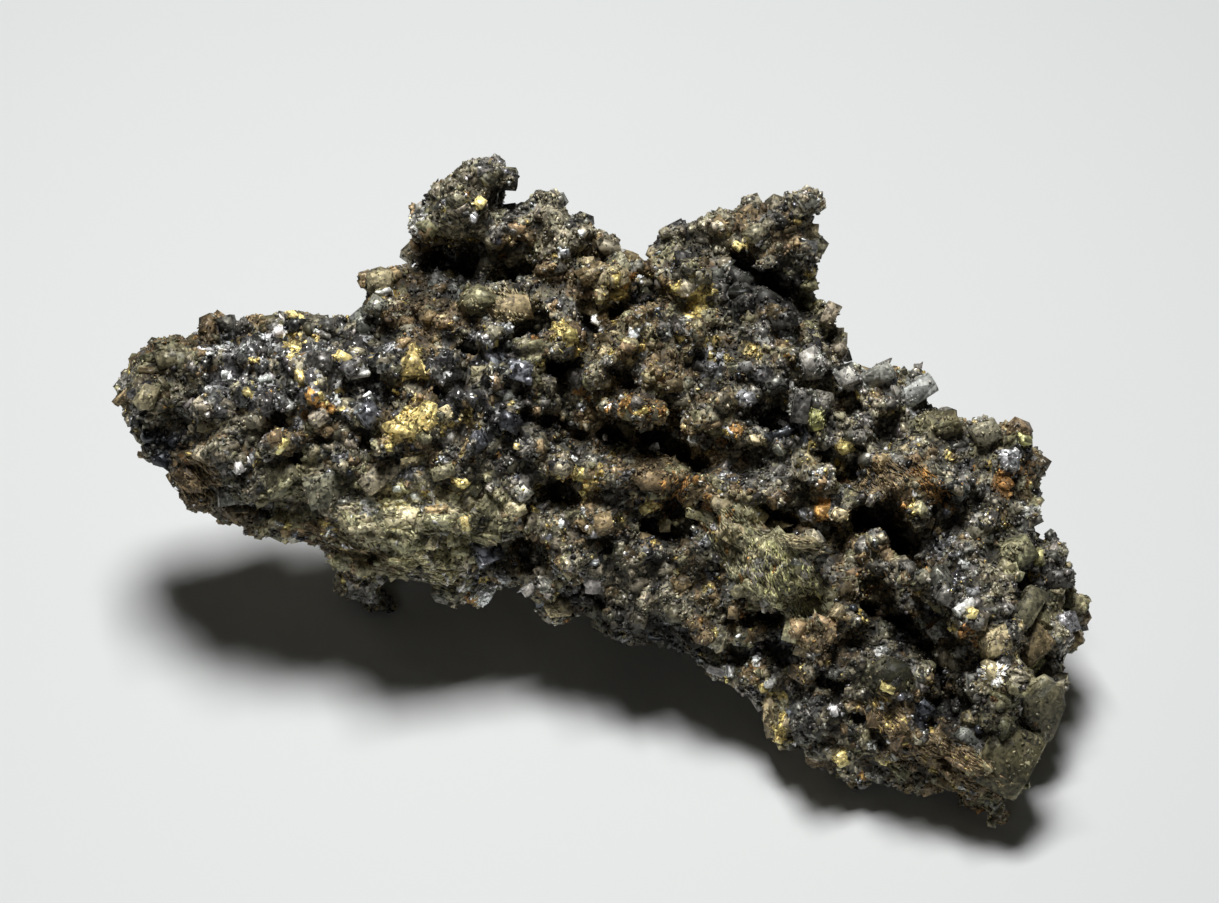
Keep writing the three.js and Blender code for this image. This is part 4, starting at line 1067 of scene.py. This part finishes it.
def make_lumps(points, triangles, tree):
    """Angular lumps set into the rock's surface, laid flat and along in the smoother patches."""
    weights = on_the_front(points, triangles, LUMP_FRONT_BOOST)
    places, normals, _ = scatter_on(points, triangles, weights, LUMP_COUNT)
    strengths = face_strengths(places, PATCHES, tree)
    grouped = np.clip(0.5 + GROUP_CONTRAST * smooth_noise(places, GROUP_SIZE, 72), 0, 1)
    draw = np.where(rng.random(LUMP_COUNT) < GROUPED_SHARE, grouped, rng.random(LUMP_COUNT))
    minerals = mineral_at(places, strengths, draw)
    smooth = (strengths * [patch.smooth for patch in PATCHES]).max(axis=1)
    laid = smooth > LAID_FROM
    twist = np.array([patch.twist for patch in PATCHES])[strengths.argmax(axis=1)]

    low, high = LUMP_RADIUS
    radius = low + (high - low) * rng.random(LUMP_COUNT) ** SMALLER_IS_COMMONER
    fine = np.isin(minerals, [MINERAL_NAMES.index(name) for name in FINE_MINERALS])
    radius *= np.where(fine, FINE_FACTOR, 1.0)
    coarse = 1 + (strengths * [patch.coarse - 1 for patch in PATCHES]).max(axis=1)
    radius = np.where(coarse > 1, np.minimum(radius * coarse, COARSE_LIMIT), radius)
    sizes = radius[:, None] * rng.uniform(*LUMP_UNEVENNESS, (LUMP_COUNT, 3))
    turns = random_turns(LUMP_COUNT)
    turns[laid] = laid_turns(normals[laid], twist[laid], LAID_SPREAD)
    sizes[laid] *= LAID_SIZES
    thickness = np.where(laid, sizes[:, 2], radius)
    places, depth = carve_crevices(places, tree)
    middles = places - normals * (thickness * rng.uniform(*LUMP_SINK, LUMP_COUNT))[:, None]

    cloud = smooth_noise(places, TONE_CLOUD_SIZE, 71)
    tones = MEAN_TONE + TONE_CLOUD * cloud + rng.normal(0, TONE_SPREAD, LUMP_COUNT)
    tones += strengths @ [patch.tone for patch in PATCHES]
    # Painted shade in the crevices darkens the deeper lumps
    tones = np.clip(tones, *TONE_LIMITS) * (1 - PAINTED_CREVICE_SHADE * np.clip(depth / DEPTH_OF_DARKEST_PAINTED_SHADE, 0, 1))
    crystalline = (of_minerals("shape", minerals) == "crystal") & ~laid
    shapes = np.where(crystalline & (rng.random(LUMP_COUNT) < CRYSTAL_SHARE), "crystal", "lump")
    smooth = np.maximum(smooth, np.clip(coarse - 1, 0, 1))
    return Things(middles, sizes, turns, shapes, minerals, tones, smooth)


def make_union(core, core_triangles, lumps, tree):
    """One skin round the core and all the lumps, with the lump nearest to each triangle and its distance."""
    core, _ = carve_crevices(core - point_normals(core, core_triangles) * CORE_SHRINK, tree)
    solids, solid_triangles, owners = lumps.solids()
    both = joined_pieces([(core, core_triangles), (solids, solid_triangles)])
    skin, skin_triangles = remeshed(*both, UNION_VOXEL)
    ratio = min(1.0, SKIN_TRIANGLES / len(skin_triangles))
    skin, skin_triangles = through_modifier(skin, skin_triangles, "DECIMATE", ratio=ratio)
    skin[:, 2] = np.maximum(skin[:, 2], GROUND_CLEARANCE)
    nearby = tree_of(solids, solid_triangles)
    hits = [nearby.find_nearest(centre) for centre in skin[skin_triangles].mean(axis=1).tolist()]
    return skin, skin_triangles, owners[[hit[2] for hit in hits]], np.array([hit[3] for hit in hits])


def paint_light_and_shade(skin, triangles, tree):
    """Painted shade and painted light for each triangle: painted shade in hollows, painted light on edges,
    and at the listed places.
    """
    lift = skin - smoothed_points(skin, triangles, HOLLOW_STEPS)
    height = (lift * point_normals(skin, triangles)).sum(axis=1)[triangles].mean(axis=1)
    centres = skin[triangles].mean(axis=1)
    even = face_strengths(centres, [patch for patch in PATCHES if patch.smooth > 0], tree).max(axis=1)
    # Painted shade in hollows and painted light on edges, evener in smooth patches
    contrast = np.clip(1 + height / PAINTED_HOLLOW_DEPTH, *PAINTED_HOLLOW_SHADES) - 1
    shade = 1 + contrast * (1 - EVENNESS_OF_SMOOTH * even)
    # Painted shade and painted light at the listed places
    for own, strength in zip(PAINTED_LIGHT_AND_SHADE, face_strengths(centres, PAINTED_LIGHT_AND_SHADE, tree).T):
        shade *= own.factor ** strength
    return shade


def make_grains(skin, triangles, owner, lumps, tree):
    """Small grains all over the lumps, mostly of the mineral under them."""
    weights = of_minerals("cover", lumps.minerals[owner]) * (1 - BARENESS_OF_SMOOTH * lumps.smooth[owner])
    weights *= on_the_front(skin, triangles, GRAIN_FRONT_BOOST)
    places, normals, chosen = scatter_on(skin, triangles, weights, GRAIN_COUNT)
    under = owner[chosen]
    minerals = lumps.minerals[under].copy()
    redrawn = (rng.random(GRAIN_COUNT) < REDRAWN_SHARE) & (under < LUMP_COUNT)
    strengths = face_strengths(places[redrawn], PATCHES, tree)
    minerals[redrawn] = mineral_at(places[redrawn], strengths, rng.random(redrawn.sum()))
    low, high = of_minerals("size", minerals).T
    size = (low + (high - low) * rng.random(GRAIN_COUNT) ** SMALLER_IS_COMMONER) / 2
    sizes = size[:, None] * rng.uniform(*GRAIN_UNEVENNESS, (GRAIN_COUNT, 3))
    middles = places + normals * (size * rng.uniform(*GRAIN_OFFSET, GRAIN_COUNT))[:, None]
    even = EVENNESS_OF_GRAINS * np.clip(lumps.smooth[under], 0, LIMIT_OF_EVEN_GRAINS)
    noise = rng.normal(*GRAIN_TONES, GRAIN_COUNT) * (1 - even)
    tones = np.clip(lumps.tones[under] + noise, 0, 1)
    shapes = of_minerals("shape", minerals)
    shapes[(shapes == "grain") & (rng.random(GRAIN_COUNT) < PLATE_SHARE)] = "plate"
    turns = random_turns(GRAIN_COUNT)
    chips = (shapes != "crystal") & (rng.random(GRAIN_COUNT) < CHIP_SHARE)
    turns[chips] = laid_turns(normals[chips], rng.uniform(0, 360, chips.sum()), CHIP_TILT)
    sizes[chips] *= CHIP_SIZES
    return Things(middles, sizes, turns, shapes, minerals, tones, np.zeros(GRAIN_COUNT))


def make_fibres(surface):
    """Splinters and thin layers that lie on the rock."""
    middles, directions, normals, sizes, minerals = [], [], [], [], []
    for fibres in FIBRES:
        along, aside = face_axes(fibres.twist)
        for _ in range(fibres.count):
            distance, angle = math.sqrt(rng.random()), rng.uniform(0, 2 * math.pi)
            offset = along * fibres.half_width * distance * math.cos(angle)
            offset += aside * fibres.half_height * distance * math.sin(angle)
            sideways, upward = offset @ ACROSS, offset @ UP
            place, normal = seen_surface(surface, fibres.across + sideways, fibres.up + upward)
            middles.append(place)
            normals.append(normal)
            radial = math.degrees(math.atan2(upward, sideways))
            directions.append(radial if fibres.direction == "away" else fibres.direction)
            width = rng.uniform(*FIBRE_WIDTH) / 2
            sizes.append((fibres.length / 2 * rng.uniform(*FIBRE_LENGTHS), width, width * FIBRE_FLATNESS))
            minerals.append(MINERAL_NAMES.index(fibres.mineral))
    count = len(middles)
    turns = laid_turns(np.array(normals), np.array(directions), FIBRE_TILT)
    tones = rng.uniform(*FIBRE_TONES, count)
    shapes = ["splinter"] * count
    middles, sizes, minerals = np.array(middles), np.array(sizes), np.array(minerals)
    return Things(middles, sizes, turns, shapes, minerals, tones, np.zeros(count))


# Colours and finishes carried by the meshes

def mineral_look(numbers, tones):
    """Tint, metal and roughness for things of the given minerals and tones."""
    dark = of_minerals("dark", numbers)
    tint = dark + (of_minerals("light", numbers) - dark) * tones[:, None]
    tint *= rng.uniform(*TINT_SPREAD, tint.shape)
    low, high = of_minerals("rough", numbers).T
    return tint, of_minerals("metal", numbers), low + (high - low) * rng.random(len(numbers))


def paint(mesh, tint, metal, rough):
    """Stores the tint, metal and roughness of each triangle on a mesh."""
    colour = mesh.attributes.new("tint", "FLOAT_COLOR", "FACE")
    colour.data.foreach_set("color", np.column_stack([tint, np.ones(len(tint))]).astype(np.float32).ravel())
    for name, values in (("metal", metal), ("rough", rough)):
        attribute = mesh.attributes.new(name, "FLOAT", "FACE")
        attribute.data.foreach_set("value", values.astype(np.float32))


# Materials

def add_node(tree, kind, operation=None, **inputs):
    """A shader node with its inputs set or linked. First and second stand for its first two inputs."""
    node = tree.nodes.new(kind)
    if operation:
        node.operation = operation
    for name, value in inputs.items():
        socket = node.inputs[{"first": 0, "second": 1}.get(name, name.replace("_", " "))]
        if isinstance(value, bpy.types.NodeSocket):
            tree.links.new(value, socket)
        else:
            socket.default_value = value
    return node


def new_material(name):
    """A material, and its node tree and shader."""
    material = bpy.data.materials.new(name)
    material.use_nodes = True
    return material, material.node_tree, material.node_tree.nodes["Principled BSDF"]


def ore_material(name, speck_size, speck_tilt, speck, cloud_size, cloud, bump):
    """A mineral finish: the mesh's own tint with fine specks, each tilted its own way, and wider clouds."""
    material, tree, shader = new_material(name)
    place = tree.nodes.new("ShaderNodeTexCoord").outputs["Object"]
    own = {}
    for value in ("tint", "metal", "rough"):
        own[value] = tree.nodes.new("ShaderNodeAttribute")
        own[value].attribute_name = value
    scale = 1 / (speck_size * MILLIMETRE)
    specks = add_node(tree, "ShaderNodeTexVoronoi", Vector=place, Scale=scale).outputs["Color"]
    scale = 1 / (cloud_size * MILLIMETRE)
    clouds = add_node(tree, "ShaderNodeTexNoise", Vector=place, Scale=scale, Detail=4.0, Roughness=0.65)
    clouds = clouds.outputs["Fac"]

    draw = add_node(tree, "ShaderNodeSeparateColor", Color=specks).outputs["Red"]
    speck_shade = add_node(tree, "ShaderNodeMapRange", Value=draw, To_Min=1 - speck, To_Max=1 + speck)
    cloud_shade = add_node(tree, "ShaderNodeMapRange", Value=clouds, From_Min=0.3, From_Max=0.7,
                           To_Min=1 - cloud, To_Max=1 + cloud)
    shade = add_node(tree, "ShaderNodeMath", "MULTIPLY", first=speck_shade.outputs["Result"],
                     second=cloud_shade.outputs["Result"])
    tinted = add_node(tree, "ShaderNodeVectorMath", "SCALE", first=own["tint"].outputs["Color"],
                      Scale=shade.outputs["Value"])

    centred = add_node(tree, "ShaderNodeVectorMath", "SUBTRACT", first=specks, second=(0.5, 0.5, 0.5))
    tilted = add_node(tree, "ShaderNodeVectorMath", "SCALE", first=centred.outputs["Vector"],
                      Scale=speck_tilt)
    grain = add_node(tree, "ShaderNodeBump", Height=clouds, Strength=bump, Distance=BUMP_HEIGHT * MILLIMETRE)
    summed = add_node(tree, "ShaderNodeVectorMath", "ADD", first=grain.outputs["Normal"],
                      second=tilted.outputs["Vector"])
    unit = add_node(tree, "ShaderNodeVectorMath", "NORMALIZE", first=summed.outputs["Vector"])
    finish = {
        "Base Color": tinted.outputs["Vector"],
        "Normal": unit.outputs["Vector"],
        "Metallic": own["metal"].outputs["Fac"],
        "Roughness": own["rough"].outputs["Fac"],
    }
    for socket, output in finish.items():
        tree.links.new(output, shader.inputs[socket])
    return material


# Name, speck size, tilt and contrast, cloud size and contrast, then bump
MATERIALS = {
    "matrix": ore_material("rock_matrix", 0.30, 0.6, 0.8, 0.9, 0.5, 0.5),
    "metal": ore_material("dark_sulphide", 0.30, 0.15, 0.8, 0.9, 0.4, 0.15),
    "earth": ore_material("stained_crust", 0.28, 0.4, 0.6, 0.8, 0.5, 0.4),
    "brass": ore_material("brassy_sulphide", 0.28, 0.4, 0.7, 0.7, 0.5, 0.3),
    "pale": ore_material("pale_crystal", 0.28, 0.3, 0.5, 0.8, 0.4, 0.3),
}


# The pieces

def add_piece(name, mesh, material):
    """Puts a finished mesh into the scene as a piece of the specimen."""
    mesh.materials.append(MATERIALS[material])
    piece = bpy.data.objects.new(name, mesh)
    bpy.context.scene.collection.objects.link(piece)
    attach(piece, BODY)
    return piece


def make_skin(points, triangles, owner, distance, lumps, painted_shades):
    """The rock between the lumps, with painted shade: a little darker, darkest where it lies deep between
    them.
    """
    relief = SKIN_RELIEF * tilted_facets(points, SKIN_FACET_SIZE, 41) - SKIN_SHRINK
    shaped = points + point_normals(points, triangles) * relief[:, None]
    shaped[:, 2] = np.maximum(shaped[:, 2], GROUND_CLEARANCE)
    mesh = write_mesh("rock_skin", shaped * MILLIMETRE, triangles)
    tones = np.clip(lumps.tones[owner] + rng.normal(0, SKIN_TONE_SPREAD, len(owner)), *SKIN_TONE_LIMITS)
    tint, metal, rough = mineral_look(lumps.minerals[owner], tones)
    # Painted shade in the gaps between lumps, times the painted shade and light of hollows, edges and places
    shade = np.where(distance > GAP_DISTANCE, PAINTED_GAP_SHADE, PAINTED_SKIN_SHADE) * painted_shades
    paint(mesh, tint * shade[:, None], metal * SKIN_METAL, np.clip(rough + SKIN_ROUGHER_BY, 0, 1))
    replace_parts(add_piece("rock_skin", mesh, "matrix"), NODE)


def painted_shades_at(places, surface, painted_shades):
    """The painted shade and light of the rock's skin next to each place."""
    return painted_shades[[surface.find_nearest(place)[2] for place in places.tolist()]]


def make_pieces(name, things, painted_facet_light, surface, painted_shades):
    """Many small solids, one piece for each family and side of the rock, their facets a little lighter or
    darker at random, partly painted light and shade on the facets.
    """
    lowest = things.middles[:, 2] - things.sizes.max(axis=1) * CORNER_REACH
    families = of_minerals("family", things.minerals)
    right = things.middles[:, 0] > RIGHT_SIDE_FROM
    for family in sorted(set(families)):
        for side, on_side in (("left", ~right), ("right", right)):
            own = things.chosen(np.flatnonzero((lowest > GROUND_CLEARANCE) & on_side & (families == family)))
            if not len(own.middles):
                continue
            points, triangles, owner = own.solids()
            piece_name = f"{family}_{name}_{side}"
            mesh = write_mesh(piece_name, points * MILLIMETRE, triangles)
            tint, metal, rough = mineral_look(own.minerals, own.tones)
            # Random painted light and shade on each facet, less in smoother things
            variation = painted_facet_light * (1 - np.clip(own.smooth, 0, LIMIT_OF_EVEN_FACETS))
            uneven = 1 + variation[owner, None] * rng.uniform(-1, 1, (len(owner), 1))
            # Each facet or thing takes the painted shade and light of the skin next to it
            if name == "lumps":
                shade = painted_shades_at(points[triangles].mean(axis=1), surface, painted_shades)
            else:
                shade = painted_shades_at(own.middles, surface, painted_shades)[owner]
            paint(mesh, tint[owner] * uneven * shade[:, None], metal[owner], rough[owner])
            add_piece(piece_name, mesh, family)


# Floor, lights and camera

def make_floor():
    corners = np.array([(-1, -1, 0), (1, -1, 0), (1, 1, 0), (-1, 1, 0)]) * FLOOR_HALF_SIZE
    mesh = write_mesh("floor", corners, np.array([(0, 1, 2), (0, 2, 3)]))
    floor = bpy.data.objects.new("floor", mesh)
    bpy.context.scene.collection.objects.link(floor)
    material, _, shader = new_material("pale_floor")
    shader.inputs["Base Color"].default_value = FLOOR_COLOUR
    shader.inputs["Roughness"].default_value = FLOOR_ROUGHNESS
    mesh.materials.append(material)


def add_light(name, place, size, power):
    """A square soft light at a place, turned to the specimen. Places and sizes are in millimetres."""
    data = bpy.data.lights.new(name, "AREA")
    data.size = size * MILLIMETRE
    data.energy = power
    light = bpy.data.objects.new(name, data)
    light.location = Vector(place) * MILLIMETRE
    light.rotation_euler = (Vector(LIGHT_AIM) - Vector(place)).to_track_quat("-Z", "Y").to_euler()
    bpy.context.scene.collection.objects.link(light)


def make_lights():
    add_light("key", (-25, 75, 455), 140, 2.42)
    add_light("front", (-170, -400, 330), 90, 0.045)
    add_light("side", (400, -60, 260), 50, 0.02)
    add_light("back", (-300, 260, 200), 60, 0.015)
    world = bpy.data.worlds.new("studio")
    world.use_nodes = True
    world.node_tree.nodes["Background"].inputs["Color"].default_value = WORLD_COLOUR
    bpy.context.scene.world = world


def make_camera():
    data = bpy.data.cameras.new("camera")
    data.sensor_width = SENSOR_WIDTH
    data.lens = SENSOR_WIDTH * FOCAL_LENGTH_IN_PIXELS / PHOTO_WIDTH
    data.clip_start, data.clip_end = NEAR_AND_FAR
    camera = bpy.data.objects.new("camera", data)
    camera.location = Vector(EYE) * MILLIMETRE
    camera.rotation_euler = Vector(-OUT).to_track_quat("-Z", "Y").to_euler()
    bpy.context.scene.collection.objects.link(camera)
    bpy.context.scene.camera = camera


make_camera()
make_lights()
make_floor()
bpy.context.scene.view_settings.view_transform = "Standard"

cad_points, cad_triangles = read_mesh(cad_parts[NODE].data)
cad_points /= MILLIMETRE
cad_surface = tree_of(cad_points, cad_triangles)
core, core_triangles = make_core(cad_points, cad_triangles)
own_features = make_features(tree_of(core, core_triangles))
rock_lumps = make_lumps(core, core_triangles, cad_surface)
rock_lumps.sizes[inside_features(rock_lumps.middles, own_features)] *= HIDDEN_LUMP_FACTOR
all_lumps = rock_lumps.joined(own_features)
rock, rock_triangles, nearest_lump, lump_distance = make_union(core, core_triangles, all_lumps, cad_surface)
rock_surface = tree_of(rock, rock_triangles)
painted_rock_shades = paint_light_and_shade(rock, rock_triangles, cad_surface)
make_skin(rock, rock_triangles, nearest_lump, lump_distance, all_lumps, painted_rock_shades)
make_pieces("lumps", all_lumps, 0.6, rock_surface, painted_rock_shades)
rock_grains = make_grains(rock, rock_triangles, nearest_lump, all_lumps, cad_surface)
make_pieces("grains", rock_grains, 0.25, rock_surface, painted_rock_shades)
make_pieces("fibres", make_fibres(rock_surface), 0.15, rock_surface, painted_rock_shades)
